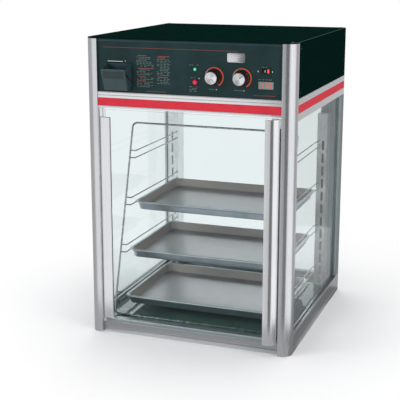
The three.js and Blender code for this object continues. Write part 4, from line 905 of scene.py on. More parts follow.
def card_material(name, level):
    """Felt or paper card that only reflections see. A look straight through the panes passes it."""
    material, tree = new_material(name)
    path = add_node(tree, "ShaderNodeLightPath").outputs
    bounces = add_node(tree, "ShaderNodeMath", {0: path["Glossy Depth"], 1: path["Diffuse Depth"]}).outputs[0]
    mirrored = add_node(tree, "ShaderNodeMath", {0: bounces, 1: 0.5}, operation="GREATER_THAN").outputs[0]
    clear = add_node(tree, "ShaderNodeBsdfTransparent", {"Color": WHITE}).outputs[0]
    glow = add_node(tree, "ShaderNodeEmission", {"Color": (level, level, level), "Strength": 1.0}).outputs[0]
    return shown(material, add_node(tree, "ShaderNodeMixShader", {0: mirrored, 1: clear, 2: glow}).outputs[0])


def add_card(name, middle, start, end, profile, level, seen_by):
    """A card that only reflections see: a profile of reach and height, carried round the middle between bearings."""
    steps = max(2, round(abs(end - start) / CARD_STEP))
    rings = []
    for step in range(steps + 1):
        turn = math.radians(start + (end - start) * step / steps)
        rings.append([(middle[0] + reach * math.sin(turn), middle[1] - reach * math.cos(turn), height)
            for reach, height in profile])
    bm = bmesh.new()
    ring_loft(bm, rings, wrap=False, ends=False)
    card = linked(name, mesh_of(name, bm, [card_material(f"{name}_felt", level)]))
    card.visible_camera = card.visible_diffuse = card.visible_shadow = False
    card.visible_glossy, card.visible_transmission = seen_by != "inside", seen_by != "outside"


def add_lamp(name, place, target, wide, tall, power, sheen=False):
    lamp = bpy.data.lights.new(name, "AREA")
    lamp.shape = "RECTANGLE"
    lamp.size, lamp.size_y, lamp.energy = wide, tall, power
    holder = linked(name, lamp)
    holder.location = place
    holder.rotation_euler = (Vector(target) - Vector(place)).to_track_quat("-Z", "Y").to_euler()
    holder.visible_glossy = sheen


# Cards round the cabinet that band its round metal and keep the dark paint dark. Each has a name, the middle that it
# curves round, its first and last bearing in degrees from the front, a profile of reach and height, its level, and
# what sees it: the metal outside, what lies behind the panes, or both.
CARD_STEP = 6
MIDDLE = (0.27, -0.27)
WALL = ((1.3, -0.9), (1.3, 1.0))
CARDS = (
    ("light_card_left", MIDDLE, -64, -16, WALL, 0.88, "outside"),
    ("grey_card_left", MIDDLE, -165, -64, WALL, 0.42, "outside"),
    ("dark_card_front", MIDDLE, -16, 31, WALL, 0.14, "outside"),
    ("grey_card_right", MIDDLE, 112, 157, WALL, 0.38, "outside"),
    ("side_card_right", MIDDLE, 157, 178, WALL, 0.52, "outside"),
    ("floor_card_front", (0, 2.0), -14, 9, ((2.29, 0.001), (2.5, 0.001)), 0.42, "outside"),
    ("floor_card_right", (-2.0, 0), 80, 98, ((2.3, 0.001), (2.5, 0.001)), 0.2, "outside"),
    ("dark_card_inside", MIDDLE, -34, 32, WALL, 0.26, "inside"),
    ("grey_card_inside", MIDDLE, 112, 176, WALL, 0.24, "inside"),
    ("dark_tent", (0, 0), 0, 360, ((1.7, 1.0), (1.7, 2.5), (0.05, 2.5)), 0.05, "both"),
)

# Each lamp has a name, its place, what it points at, its width and height, its power in watts, and whether it shows
# in gloss.
LAMPS = (
    ("softbox_left", (-1.9, -2.2, 2.2), (0, 0, 0.45), 1.6, 1.6, 28),
    ("softbox_right", (2.3, -1.4, 1.7), (0, 0, 0.4), 1.2, 1.6, 13, True),
    ("softbox_top", (0.1, 0.2, 2.6), (0, 0, 0.4), 1.6, 1.6, 13),
    ("softbox_back", (-0.6, 2.4, 1.8), (0, 0, 0.4), 1.8, 1.4, 12),
)


class CABINET_OT_stage(bpy.types.Operator):
    """Sets the pale floor, the soft lamps, the white surroundings and the camera"""

    bl_idname = "cabinet.stage"
    bl_label = "Stage"

    def execute(self, context):
        scene = context.scene
        scene.view_settings.view_transform = "Standard"
        bm = bmesh.new()
        bmesh.ops.create_grid(bm, x_segments=1, y_segments=1, size=14, matrix=Matrix.Translation((0, 0, -0.0005)))
        floor = linked("studio_floor", mesh_of("studio_floor", bm, [studio_floor_material(colours().floor)]))
        floor.visible_glossy = False

        world = bpy.data.worlds.new("studio")
        scene.world = world
        world.use_nodes = True
        tree = world.node_tree
        tree.nodes.clear()
        level = spread(tree, background_seen(tree), 0.74, 1.0, 0, 1)
        light = add_node(tree, "ShaderNodeBackground", {"Color": WHITE, "Strength": level}).outputs[0]
        add_node(tree, "ShaderNodeOutputWorld", {"Surface": light})

        for lamp in LAMPS:
            add_lamp(*lamp)
        for card in CARDS:
            add_card(*card)

        lens = bpy.data.cameras.new("view")
        lens.lens = sizes().lens
        lens.sensor_width = 36
        lens.shift_y = -0.06
        lens.clip_start = 0.05
        camera = linked("view", lens)
        camera.location = (0.8926, -2.6070, 1.0272)
        camera.rotation_euler = (math.pi / 2 - 0.2204, 0, 0.3516)
        scene.camera = camera
        return {"FINISHED"}


# Case


class CABINET_OT_case(bpy.types.Operator):
    """Rounds the edges of the posts, rails, sheets and stripes, and gives them their finishes"""

    bl_idname = "cabinet.case"
    bl_label = "Case"

    def execute(self, context):
        edge, sheet = sizes().extrusion_edge, sizes().edge
        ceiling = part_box("chamber_ceiling")[0].z
        # The right rear post takes the darker shaded aluminium and the right glazing strip a grey vinyl, both painted
        # shade; the left glazing strip's pale vinyl is painted light.
        for side, upright, vinyl in (("left", "satin_upright", "gasket"), ("right", "shaded", "vinyl")):
            softened(f"front_post_{side}", edge, "satin_upright")
            softened(f"rear_post_{side}", edge, upright)
            dress(f"pilaster_{side}", "zinc")
            low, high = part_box(f"pilaster_{side}")
            post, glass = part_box(f"rear_post_{side}"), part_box(f"side_glass_{side}")
            if side == "left":
                near, far = low.x + STRIP_INNER, high.x - STRIP_OUTER
                left, right = post[0].x + VINYL_IN, glass[0].x - VINYL_GAP
            else:
                near, far = low.x + STRIP_OUTER, high.x - STRIP_INNER
                left, right = glass[1].x + VINYL_GAP, post[1].x - VINYL_IN
            # A dark strip behind each pilaster's slots stands for the shade inside the channel: painted shade.
            slab(f"pilaster_shade_strip_{side}", (near, high.y - 0.0017, low.z + 0.0005),
                (far, high.y - TUCK, high.z - 0.0005), TRIM_EDGE, "zinc_slot_shade")
            slab(f"pilaster_cap_{side}", (low.x, low.y, high.z - TUCK), (high.x, high.y, high.z + 0.0010),
                TRIM_EDGE, "zinc")
            # The hangers take the darker shaded aluminium as painted shade.
            slab(f"pilaster_hanger_{side}", (low.x + 0.0005, high.y - 0.012, high.z + 0.0009),
                (high.x - 0.0005, high.y - 0.001, ceiling - TUCK), 0.0006, "shaded")
            slab(f"glazing_strip_{side}", (left, post[0].y - 0.0008, post[0].z + 0.001),
                (right, post[0].y + 0.0004, post[1].z - 0.001), TRIM_EDGE, vinyl)
        # The base rails take the darker base aluminium, painted shade for the floor's shade that they reflect.
        for side, run in (("left", "deep"), ("right", "deep"), ("front", "across"), ("rear", "across")):
            softened(f"base_rail_{side}", edge, f"base_{run}")
            softened(f"head_rail_{side}", edge, f"bright_{run}")
            softened(f"stripe_{side}", sheet, "stripe")
        softened("deck_plate", sheet, "deck")
        dress("base_pan", "zinc")
        dress("chamber_ceiling", "steel")
        return {"FINISHED"}


class CABINET_OT_ribs(bpy.types.Operator):
    """Draws the fine ribs along the head rails and the lips of the base rails"""

    bl_idname = "cabinet.ribs"
    bl_label = "Drawn ribs"

    def execute(self, context):
        tree = bead_tree()

        def drawn(name, start, run, count, radius, finish_name, slot):
            values = {"Start": start, "Run": run, "Count": count, "Step": (0, 0, -RIB_STEP), "Radius": radius}
            grown(name, tree, finish_name, values)

        low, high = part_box("head_rail_front")
        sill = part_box("base_rail_front")
        run = (high.x - low.x - 2 * RIB_END, 0, 0)
        drawn("head_rail_ribs", (low.x + RIB_END, low.y + TUCK, high.z - 0.0022), run, 2, RIB_RADIUS,
            "bright_across", "bright_aluminium")
        drawn("head_rail_lip", (low.x + RIB_END, low.y + 0.0001, low.z + 0.0045), run, 1, 0.0008,
            "bright_across", "bright_aluminium")
        drawn("sill_lip", (sill[0].x + RIB_END, sill[0].y + 0.0001, sill[1].z - LIP_DROP), run, 1, LIP_RADIUS,
            "bright_across", "satin_aluminium")
        for side in ("left", "right"):
            low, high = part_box(f"head_rail_{side}")
            x = low.x + TUCK if side == "left" else high.x - TUCK
            drawn(f"head_rail_ribs_{side}", (x, low.y + RIB_END, high.z - 0.003),
                (0, high.y - low.y - 2 * RIB_END, 0), 2, RIB_RADIUS, "bright_deep", "bright_aluminium")
            low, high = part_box(f"base_rail_{side}")
            drawn(f"base_rail_lip_{side}", (x, low.y + RIB_END, high.z - LIP_DROP),
                (0, high.y - low.y - 2 * RIB_END, 0), 1, LIP_RADIUS, "satin_deep", "satin_aluminium")
        return {"FINISHED"}


class CABINET_OT_glazing(bpy.types.Operator):
    """Gives the panes clear glass with ground edges, and lays the rubber beads that hold the fixed ones"""

    bl_idname = "cabinet.glazing"
    bl_label = "Glazing"

    def execute(self, context):
        for node in ("side_glass_left", "side_glass_right", "rear_glass", "door_glass"):
            low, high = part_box(node)
            thin = min(range(3), key=lambda axis: (high - low)[axis])
            bm = welded_copy(node)
            rounded(bm, 0.0005)
            bm.normal_update()
            for face in bm.faces:
                face.material_index = 0 if abs(face.normal[thin]) > 0.9 else 1
            piece(f"{node}_dressed", bm, ("glass", "glass_edge"), body_of(node), (node,))
        tree = wire_tree()
        for side in ("left", "right"):
            low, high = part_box(f"side_glass_{side}")
            front, back = low.y + BEAD_IN, high.y - BEAD_IN
            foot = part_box(f"base_rail_{side}")[1].z + BEAD_IN
            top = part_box(f"head_rail_{side}")[0].z - BEAD_IN
            x = low.x - TUCK if side == "left" else high.x + TUCK
            loop = [(x, front, foot), (x, back, foot), (x, back, top), (x, front, top), (x, front, foot)]
            bent_wires(f"glazing_bead_{side}", tree, [(BEAD_RADIUS, loop)], 0.001, 10, "rubber")
        return {"FINISHED"}


# Head


class CABINET_OT_head(bpy.types.Operator):
    """Finishes the control panel, the head's covers and the lid"""

    bl_idname = "cabinet.head"
    bl_label = "Head"

    def execute(self, context):
        sheet = sizes().edge
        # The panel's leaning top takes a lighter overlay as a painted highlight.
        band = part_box("control_panel")[1].z - 0.0065
        softened("control_panel", sheet, "panel",
            lambda face: face.calc_center_median().z > band and face.normal.y < -0.3, ("panel_top_sheen",))
        for node, width in (("head_panel_left", sheet), ("head_panel_right", sheet), ("head_panel_rear", 0.0003)):
            softened(node, width, "lid")
        # The lid's rounded long edges take a lighter paint as a painted highlight.
        softened("lid", 0.0012, "lid",
            lambda face: abs(face.normal.x) > 0.3 and face.normal.z > 0.3, ("lid_edge_sheen",))
        softened("cord_gland", sizes().moulded_edge, "black")
        return {"FINISHED"}


class CABINET_OT_works(bpy.types.Operator):
    """Finishes the works under the lid"""

    bl_idname = "cabinet.works"
    bl_label = "Works"

    def execute(self, context):
        for node in ("air_plenum", "water_tank"):
            softened(node, 0.0008, "zinc")
        for node in ("fan_wheel", "fan_motor", "air_heater", "tank_heater"):
            dress(node, "steel")
        for node in ("humidity_control", "temperature_control"):
            softened(node, 0.0006, "grey")
        dress("control_board", "board")
        return {"FINISHED"}


# Controls


class CABINET_OT_knobs(bpy.types.Operator):
    """Turns the two knobs with their skirts, flutes, caps and pointers"""

    bl_idname = "cabinet.knobs"
    bl_label = "Knobs"

    def execute(self, context):
        size = sizes()
        skirt, grip, reach = size.knob_skirt, size.knob_body, size.knob_reach
        knob = [(0, 0.0006), (skirt - 0.003, 0.0006), (skirt - 0.0006, 0.0008), (skirt, 0.0016),
            (skirt - 0.0008, 0.0034), (skirt - 0.0018, 0.0044), (grip + 0.0012, 0.0050), (grip + 0.0002, 0.0064),
            (grip, 0.0100), (grip - 0.0004, reach - 0.0040), (grip - 0.0005, reach - 0.0016),
            (grip - 0.0009, reach - 0.0006), (grip - 0.0013, reach - 0.0003), (grip - 0.0017, reach - 0.0008),
            (0, reach - 0.0008)]
        cap = [(0, reach - 0.0010), (grip - 0.0018, reach - 0.0010), (grip - 0.0018, reach - 0.0005),
            (grip - 0.0024, reach - 0.0001), (grip - 0.0034, reach), (grip - 0.0044, reach - 0.0003),
            (0, reach - 0.0004)]
        bars = (
            ("pointer", (-0.0005, -reach - 0.0003, 0.0020), (0.0005, -reach + 0.0010, grip - 0.0040), "black"),
            ("index", (-0.0009, -0.0052, grip - 0.0006), (0.0009, -0.0042, skirt - 0.0008), "ink_pale"))
        for name, pointer in (("humidity", -52), ("temperature", 40)):
            centre, dial = panel_centre(f"{name}_knob"), f"{name}_dial"
            turned(f"{name}_knob_body", knob, centre, 30, "black", dial, (f"{name}_knob",),
                size.flutes * 6, size.flutes, (7, 8, 9, 10))
            turned(f"{name}_knob_cap", cap, centre, 30, f"{name}_cap", dial, steps=96)
            turn = Matrix.Rotation(math.radians(90 - pointer), 3, "Y")
            for part, low, high, ink in bars:
                bm = bmesh.new()
                add_box(bm, low, high)
                rounded(bm, 0.0002)
                for vert in bm.verts:
                    vert.co = centre + turn @ vert.co
                smoothed(bm)
                piece(f"{name}_knob_{part}", bm, (ink,), dial)
        return {"FINISHED"}


class CABINET_OT_lamps(bpy.types.Operator):
    """Turns the two indicator lenses and their bezels"""

    bl_idname = "cabinet.lamps"
    bl_label = "Lamps"

    def execute(self, context):
        for name in ("green", "red"):
            low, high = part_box(f"{name}_lamp")
            centre = panel_centre(f"{name}_lamp")
            radius, reach, stem = (high.x - low.x) / 2, PANEL_FACE - low.y, PANEL_FACE - high.y
            rim, seat = radius - 0.0014, 0.0018
            crown = [math.pi / 2 * step / 10 for step in range(1, 10)]
            lens = [(0, stem), (0.0045, stem), (0.0045, -0.0002), (rim, 0.0002), (rim, seat),
                *[(rim * math.cos(a), seat + (reach - seat) * math.sin(a)) for a in crown], (0, reach)]
            turned(f"{name}_lamp_lens", lens, centre, 50, f"{name}_lens",
                replaces=(f"{name}_lamp",))
            bezel = [(rim + 0.0001, 0.0001), (radius, 0.0001), (radius, 0.0012), (radius - 0.0004, seat),
                (rim + 0.0002, 0.0020), (rim + 0.0001, 0.0016), (rim + 0.0001, 0.0001)]
            turned(f"{name}_lamp_bezel", bezel, centre, 40, "black")
        return {"FINISHED"}


# The rocker's pale mark and its red lens, from edge to edge across the switch, and the mark's foot and head.
ROCKER_MARK = (0.2083, 0.2097)
ROCKER_LENS = (0.2147, 0.2196)
ROCKER_MARK_Z = (0.7476, 0.7524)


class CABINET_OT_switch(bpy.types.Operator):
    """Finishes the rocker switch with its two marks"""

    bl_idname = "cabinet.switch"
    bl_label = "Power switch"

    def execute(self, context):
        softened("power_switch_frame", 0.0006, "black")
        bm = welded_copy("power_rocker")
        rounded(bm, 0.0005)
        for place, across in [*[(x, X) for x in (*ROCKER_MARK, *ROCKER_LENS)], *[(z, Z) for z in ROCKER_MARK_Z]]:
            bmesh.ops.bisect_plane(
                bm, geom=[*bm.verts, *bm.edges, *bm.faces], plane_co=across * place, plane_no=across)
        smoothed(bm, 50)
        for face in bm.faces:
            at = face.calc_center_median()
            if face.normal.y < -0.6:
                marked = ROCKER_MARK[0] < at.x < ROCKER_MARK[1] and ROCKER_MARK_Z[0] < at.z < ROCKER_MARK_Z[1]
                face.material_index = 2 if marked else 1 if ROCKER_LENS[0] < at.x < ROCKER_LENS[1] else 0
        piece("power_rocker_dressed", bm, ("black", "rocker_red", "ink_pale"),
            body_of("power_rocker"), ("power_rocker",))
        return {"FINISHED"}


# The segments of each digit, and each segment's place across and up in half digits, and whether it stands upright.
SEGMENTS = {
    "0": "abcdef", "1": "bc", "2": "abged", "3": "abgcd", "4": "fgbc", "5": "afgcd", "6": "afgedc", "7": "abc",
    "8": "abcdefg", "9": "abcdfg",
}
SPOTS = {"a": (0, 1, 0), "g": (0, 0, 0), "d": (0, -1, 0), "f": (-1, 0.5, 1), "b": (1, 0.5, 1), "e": (-1, -0.5, 1),
    "c": (1, -0.5, 1)}


class CABINET_OT_display(bpy.types.Operator):
    """Finishes the temperature display and lights a plain number in it"""

    bl_idname = "cabinet.display"
    bl_label = "Temperature display"

    def execute(self, context):
        softened("temperature_display", 0.0008, "display")
        low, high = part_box("temperature_display")
        tall, wide, bar, slant, pitch = 0.0118, 0.0066, 0.0021, 0.09, 0.0112
        bm = bmesh.new()
        for index, digit in enumerate(sizes().reading):
            middle = Vector(((low.x + high.x) / 2 + (index - 1) * pitch, 0, (low.z + high.z) / 2))
            for across, up, upright in (SPOTS[segment] for segment in SEGMENTS[digit]):
                half, tip = (tall / 4 if upright else wide / 2) - bar * 0.12, bar / 2
                shape = [(-half, 0), (-half + tip, tip), (half - tip, tip), (half, 0), (half - tip, -tip),
                    (-half + tip, -tip)]
                if upright:
                    shape = [(v, -u) for u, v in shape]
                ring_loft(bm, [[middle + Vector((
                    across * wide / 2 + u + (up * tall / 2 + v) * slant, depth, up * tall / 2 + v))
                    for u, v in shape] for depth in (low.y + 0.0002, low.y - 0.00015)])
        outward_faces(bm)
        piece("display_digits", bm, ("digit",))
        return {"FINISHED"}


# The cup's recess: its middle, and the directions along and across it in side view. Its band's middle, half height
# and half width.
CUP_SLOT, SLOT_ALONG, SLOT_ACROSS = Vector((0, -0.2934, 0.7211)), Vector((0, -0.84, 0.542)), Vector((0, 0.542, 0.84))
BAND_X, BAND_Z, BAND_HALF = -0.189, 0.7287, (0.0292, 0.0092)


class CABINET_OT_fill_cup(bpy.types.Operator):
    """Finishes the tilting water-fill cup"""

    bl_idname = "cabinet.fill_cup"
    bl_label = "Water-fill cup"

    def execute(self, context):
        low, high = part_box("water_fill_cup")
        body = body_of("water_fill_cup")
        bm = welded_copy("water_fill_cup")
        rounded(bm, 0.0005)
        smoothed(bm, 50)

        def in_shaded_slot(vert):
            flat = Vector((0, vert.co.y, vert.co.z)) - CUP_SLOT
            return abs(flat.dot(SLOT_ACROSS)) < 0.0024 and abs(flat.dot(SLOT_ALONG)) < 0.021

        # Faces inside the slot are painted black as shade.
        for face in bm.faces:
            at = face.calc_center_median()
            if all(in_shaded_slot(vert) for vert in face.verts) and min(abs(at.x - low.x), abs(at.x - high.x)) > 0.0012:
                face.material_index = 2
            elif (abs(at.z - BAND_Z) < BAND_HALF[1] and at.y < -0.3 and face.normal.y < -0.8
                    and face.calc_area() > 0.0006):
                face.material_index = int(all(abs(v.co.x - BAND_X) < BAND_HALF[0] for v in face.verts))
        piece("water_fill_cup_dressed", bm, ("grey", "grey_band", "black"), body,
            ("water_fill_cup",), weighted=True)

        # A splash guard closes the mouth's back down to the spout, and a bead stiffens the lip.
        bm = bmesh.new()
        top, foot, depth = Vector((0, -0.2712, 0.7548)), Vector((0, -0.2484, 0.7195)), Vector((0, 0.0010, 0.0007))
        ring_loft(bm, [[X * x + point for point in (top, foot, foot + depth, top + depth)]
            for x in (low.x + 0.0026, high.x - 0.0026)])
        outward_faces(bm)
        rounded(bm, TRIM_EDGE)
        smoothed(bm)
        # The splash guard and the lip bead take a lighter copy of the cup's grey, painted light.
        piece("fill_cup_splash_guard", bm, ("grey_lit_copy",), body)
        lip = [(x, low.y + 0.0012, 0.7424) for x in (low.x + 0.004, high.x - 0.004)]
        bent_wires("fill_cup_lip_bead", wire_tree(), [(BEAD_RADIUS, lip)], 0.001, 12, "grey_lit_copy",
            body)
        return {"FINISHED"}


# Printed bars on the panel: x from, x to, z middle and height, in millimetres.
RULES = ((-235.8, 136.3, 797, 0.75), (180, 236, 688, 0.9), (-112.6, -58, 685.4, 0.9))
HEADINGS = (
    (-138, -112, 777.5, 1.6), (-138, -92, 744.6, 1.6), (-138, -116, 723.8, 1.6), (-138, -114, 712.9, 1.6),
    (-80.6, -48, 776.8, 1.6), (-80.6, -60, 773.2, 1.6), (-80.6, -52, 723, 1.6),
)
MARKS = (
    (-223, -179, 760.5, 1.7), (-173.2, -170.8, 761.7, 2.2), (31.8, 34.2, 725, 2), (79, 81.5, 698.4, 2),
    (152, 154.5, 698.5, 2), (189.4, 191, 749, 4), (226.6, 228.2, 749, 4), (191.4, 193.2, 720, 1.2),
    (79.3, 80.7, 717.5, 1.4), (156.1, 157.5, 739.5, 1.4),
)
# Blocks of fine print: name, first corner's x and z in millimetres, rows, row pitch, words in a row and word pitch.
BLOCKS = (
    ("column_1_top", -137, 773.4, 7, 4.0, 5, 9.6), ("column_1_middle", -137, 740.6, 4, 4.0, 5, 9.6),
    ("column_1_low", -137, 719.9, 2, 3.6, 5, 9.6), ("column_1_foot", -137, 709.0, 4, 4.0, 5, 9.6),
    ("column_2_top", -79.6, 768.8, 11, 4.0, 4, 9.6), ("column_2_low", -79.6, 719.0, 4, 4.0, 4, 9.6),
    ("lamp_lines", 10, 703, 4, 4.0, 3, 8.4), ("green_lamp_line", 9, 758.5, 1, 4.0, 4, 8.0),
    ("red_lamp_line", 13, 726.0, 1, 4.0, 2, 9.0), ("humidity_line", 63.5, 698.4, 1, 4.0, 2, 8.0),
    ("temperature_line", 131, 698.5, 1, 4.0, 3, 7.4), ("switch_line", 203, 759.8, 1, 4.0, 2, 8.0),
    ("display_line", 194, 728.8, 1, 4.0, 4, 9.4),
)


def arc_mark(name, centre, start, end, radius, narrow, wide):
    """A printed scale arc that widens from its start to its end, with a sweep attribute from 0 to 1."""
    steps, rings = 72, []
    for step in range(steps + 1):
        share = step / steps
        angle = math.radians(start + (end - start) * share)
        half = (narrow + (wide - narrow) * min(1.0, share * 1.6)) / 2
        spoke, ink = Vector((math.cos(angle), 0, math.sin(angle))), sizes().ink
        rings.append([centre + spoke * (radius + out) - Y * reach
            for out, reach in ((-half, ink), (half, ink), (half, -PRINT_SUNK), (-half, -PRINT_SUNK))])
    bm = bmesh.new()
    sweep = bm.verts.layers.float.new("sweep")
    for step, ring in enumerate(ring_loft(bm, rings)):
        for vert in ring:
            vert[sweep] = step / steps
    outward_faces(bm)
    piece(name, bm, ("arc",))


class CABINET_OT_panel_print(bpy.types.Operator):
    """Prints the panel's scale arcs, marks, rules and plain bars"""

    bl_idname = "cabinet.panel_print"
    bl_label = "Panel print"

    def execute(self, context):
        size = sizes()
        for name in ("humidity", "temperature"):
            centre = panel_centre(f"{name}_knob")
            arc_mark(f"{name}_scale_arc", centre, 205, -60, size.arc_radius, 0.0007, size.arc_width)
        for name, bars, ink in (
            ("panel_rules", RULES, "ink_dim"), ("panel_headings", HEADINGS, "ink_dim"),
            ("panel_marks", MARKS, "ink_pale"),
        ):
            bm = bmesh.new()
            for left, right, z, height in bars:
                add_box(bm, face_point(left, z - height / 2, size.ink),
                    face_point(right, z + height / 2, -PRINT_SUNK))
            piece(name, bm, (ink,))
        tree = print_tree()
        for seed, (name, x, z, rows, pitch, words, step) in enumerate(BLOCKS, 1):
            grown(f"print_{name}", tree, "ink_grey", {
                "Corner": tuple(face_point(x, z, size.ink / 2)), "Rows": rows, "Row Pitch": pitch * MM,
                "Words": words, "Word Pitch": step * MM, "Bar Height": 0.95 * MM, "Bar Depth": size.ink + 0.0001,
                "Seed": seed})
        bm = bmesh.new()
        add_box(bm, face_point(109, 769, 0.0008), face_point(156, 793, -PRINT_SUNK))
        corners = [e for e in bm.edges if abs((e.verts[0].co - e.verts[1].co).y) > 0.0005]
        bmesh.ops.bevel(bm, geom=corners, offset=0.004, segments=8, profile=0.5, affect="EDGES")
        rounded(bm, TRIM_EDGE, 60)
        smoothed(bm, 40)
        piece("blank_badge_plate", bm, ("satin_across",))
        return {"FINISHED"}


# Door


class CABINET_OT_door(bpy.types.Operator):
    """Finishes the door's handle, hinge stile, pivots and catch strip, and lays its draught strip"""

    bl_idname = "cabinet.door"
    bl_label = "Door"

    def execute(self, context):
        for node, width, finish_name, slot in (
            ("door_handle", 0.0006, "bright_upright", "bright_aluminium"),
            ("door_hinge_stile", 0.0005, "bright_upright", "satin_aluminium"),
            ("door_pivot_top", 0.0004, "bright_upright", "bright_aluminium"),
            ("door_pivot_bottom", 0.0004, "bright_upright", "bright_aluminium"),
            ("door_catch_strip", 0.0008, "catch", "magnet_black"),
        ):
            softened(node, width, finish_name)
        post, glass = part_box("front_post_left")[1].x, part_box("door_glass")
        slab("door_draught_strip", (post - TUCK, -0.2740, glass[0].z + 0.003),
            (post + 0.0010, -0.2610, glass[1].z - 0.004), 0.0004, "gasket")
        low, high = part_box("door_hinge_stile")
        slab("hinge_stile_lip", (high.x - 0.0004, low.y + 0.0004, low.z + 0.0006),
            (high.x + 0.0009, glass[0].y - TUCK, high.z - 0.0006), 0.0004, "gasket", "door")
        return {"FINISHED"}


# Rack and pans

# Measures in metres
HOOP_TOP, HOOP_FOOT = 0.564, 0.03895  # heights of the hoop's ends
HOOP_X, CROSS_X = 0.2415, 0.20825  # half the width of the hoop, and half the length of the cross wires
HOOP_LEAN = 0.2819  # how far the hoop leans back for its height
HOOP_HALF = 0.00275  # half the thickness of its wire
LEVELS = (0.077, 0.207, 0.337, 0.467)  # heights of the runners
GUARD_RISE = 0.020  # how far a guard wire lies over its runner
RUNNER_X, RUNNER_END_X, FOOT_X = 0.225, 0.229, 0.211  # where runners, their ends and the feet lie across
RUBBED_SHEEN_RINGS = range(14, 18)  # the rings of a pan's section that the wires rub
# The rings of the bead's upper front take a pale matt line, partly wear from the wires and partly a painted
# highlight.
FLAT_X, BLEND_X = 0.014, 0.012  # how far in a pan's bead is rolled flat, and how far it then takes to fill out


def hoop_y(z):
    """Where the leaning hoop stands at a height."""
    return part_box("rack_bottom_wire")[0].y + HOOP_HALF + HOOP_LEAN * (z - HOOP_FOOT)


class CABINET_OT_rack(bpy.types.Operator):
    """Bends the rack's hoops, runners and cross wires, with their weld nuggets"""

    bl_idname = "cabinet.rack"
    bl_label = "Wire rack"

    def execute(self, context):
        size = sizes()
        tree, nuggets = wire_tree(), weld_tree()
        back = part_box("pilaster_left")[0].y
        heights = [level + rise for level in LEVELS for rise in (0, GUARD_RISE)]
        for name, side in (("left", -1), ("right", 1)):
            hoop = [(side * x, hoop_y(z), z) for x, z in (
                (CROSS_X, HOOP_FOOT), (HOOP_X, HOOP_FOOT), (HOOP_X, HOOP_TOP), (CROSS_X, HOOP_TOP))]
            bent_wires(f"rack_hoop_{name}", tree, [(size.hoop_wire, hoop)], 0.014, 20,
                replaces=(f"rack_side_{name}",))
            runners = [
                [(side * x, y, z) for x, y in (
                    (HOOP_X, hoop_y(z)), (RUNNER_X, hoop_y(z)), (RUNNER_X, back - 0.024),
                    (RUNNER_END_X, back - 0.012), (RUNNER_END_X, back + 0.004))]
                for z in heights]
            runners.append([(side * FOOT_X, y, HOOP_FOOT) for y in (hoop_y(HOOP_FOOT), back - 0.010)])
            bent_wires(f"rack_runners_{name}", tree, [(size.runner_wire, run) for run in runners], 0.005, 14)
            spots = [(side * HOOP_X, hoop_y(z) + 0.001, z) for z in heights]
            grown(f"rack_welds_{name}", nuggets, "wire", {"Radius": 0.0031}, mesh=point_mesh(spots, Z))
        for name, z in (("top", HOOP_TOP), ("bottom", HOOP_FOOT)):
            run = [(x, hoop_y(z), z) for x in (-CROSS_X + 0.0004, CROSS_X - 0.0004)]
            bent_wires(f"rack_cross_wire_{name}", tree, [(size.hoop_wire, run)], 0.001, 20,
                replaces=(f"rack_{name}_wire",))
        return {"FINISHED"}


def rounded_plan(half_x, half_y, radius, centre, z, corner_steps=10):
    """A ring of points round a rectangle with round corners."""
    points = []
    for quarter, (sx, sy) in enumerate(((1, 1), (-1, 1), (-1, -1), (1, -1))):
        for step in range(corner_steps + 1):
            angle = math.pi / 2 * (quarter + step / corner_steps)
            points.append(Vector((
                centre.x + sx * (half_x - radius) + radius * math.cos(angle),
                centre.y + sy * (half_y - radius) + radius * math.sin(angle), z)))
    return points


def pan_profiles(top, foot, wall):
    """A pan's section from its floor's underside round the rim to its floor's top, as inset and height, once with
    the bead rolled flat and once with it full."""
    rim, flare, bead, flat_bead, reach = 0.0075, 0.004, 0.0035, 0.0012, 0.040
    outer = [(rim + flare + reach, foot), (rim + flare + 0.004, foot), (rim + flare + 0.0012, foot + 0.0008),
        (rim + flare, foot + 0.0032), (rim + 0.0018, top - 0.0098)]
    inside = rim + flare + wall
    inner = [(rim + wall - 0.0001, top - 0.0007), (rim + wall + 0.0002, top - 0.0016),
        (inside - 0.0002, foot + wall + 0.0034), (inside + 0.0008, foot + wall + 0.0010),
        (inside + 0.0034, foot + wall), (rim + flare + reach, foot + wall)]
    flat = [(rim + 0.0006, top - 0.0034), (rim - 0.0018, top - 0.0026)]
    full = [(rim + 0.0008, top - 0.0072), (bead * 1.6, top - bead * 1.85)]
    for angle in (math.radians(-90 - 15 * step) for step in range(13)):
        for section, radius in ((flat, flat_bead), (full, bead)):
            section.append((radius + radius * math.cos(angle), top - radius + radius * math.sin(angle)))
    flat.append((rim - 0.0006, top - 0.0001))
    full.append((rim - 0.0001, top - 0.0001))
    return [*outer, *flat, *inner], [*outer, *full, *inner]


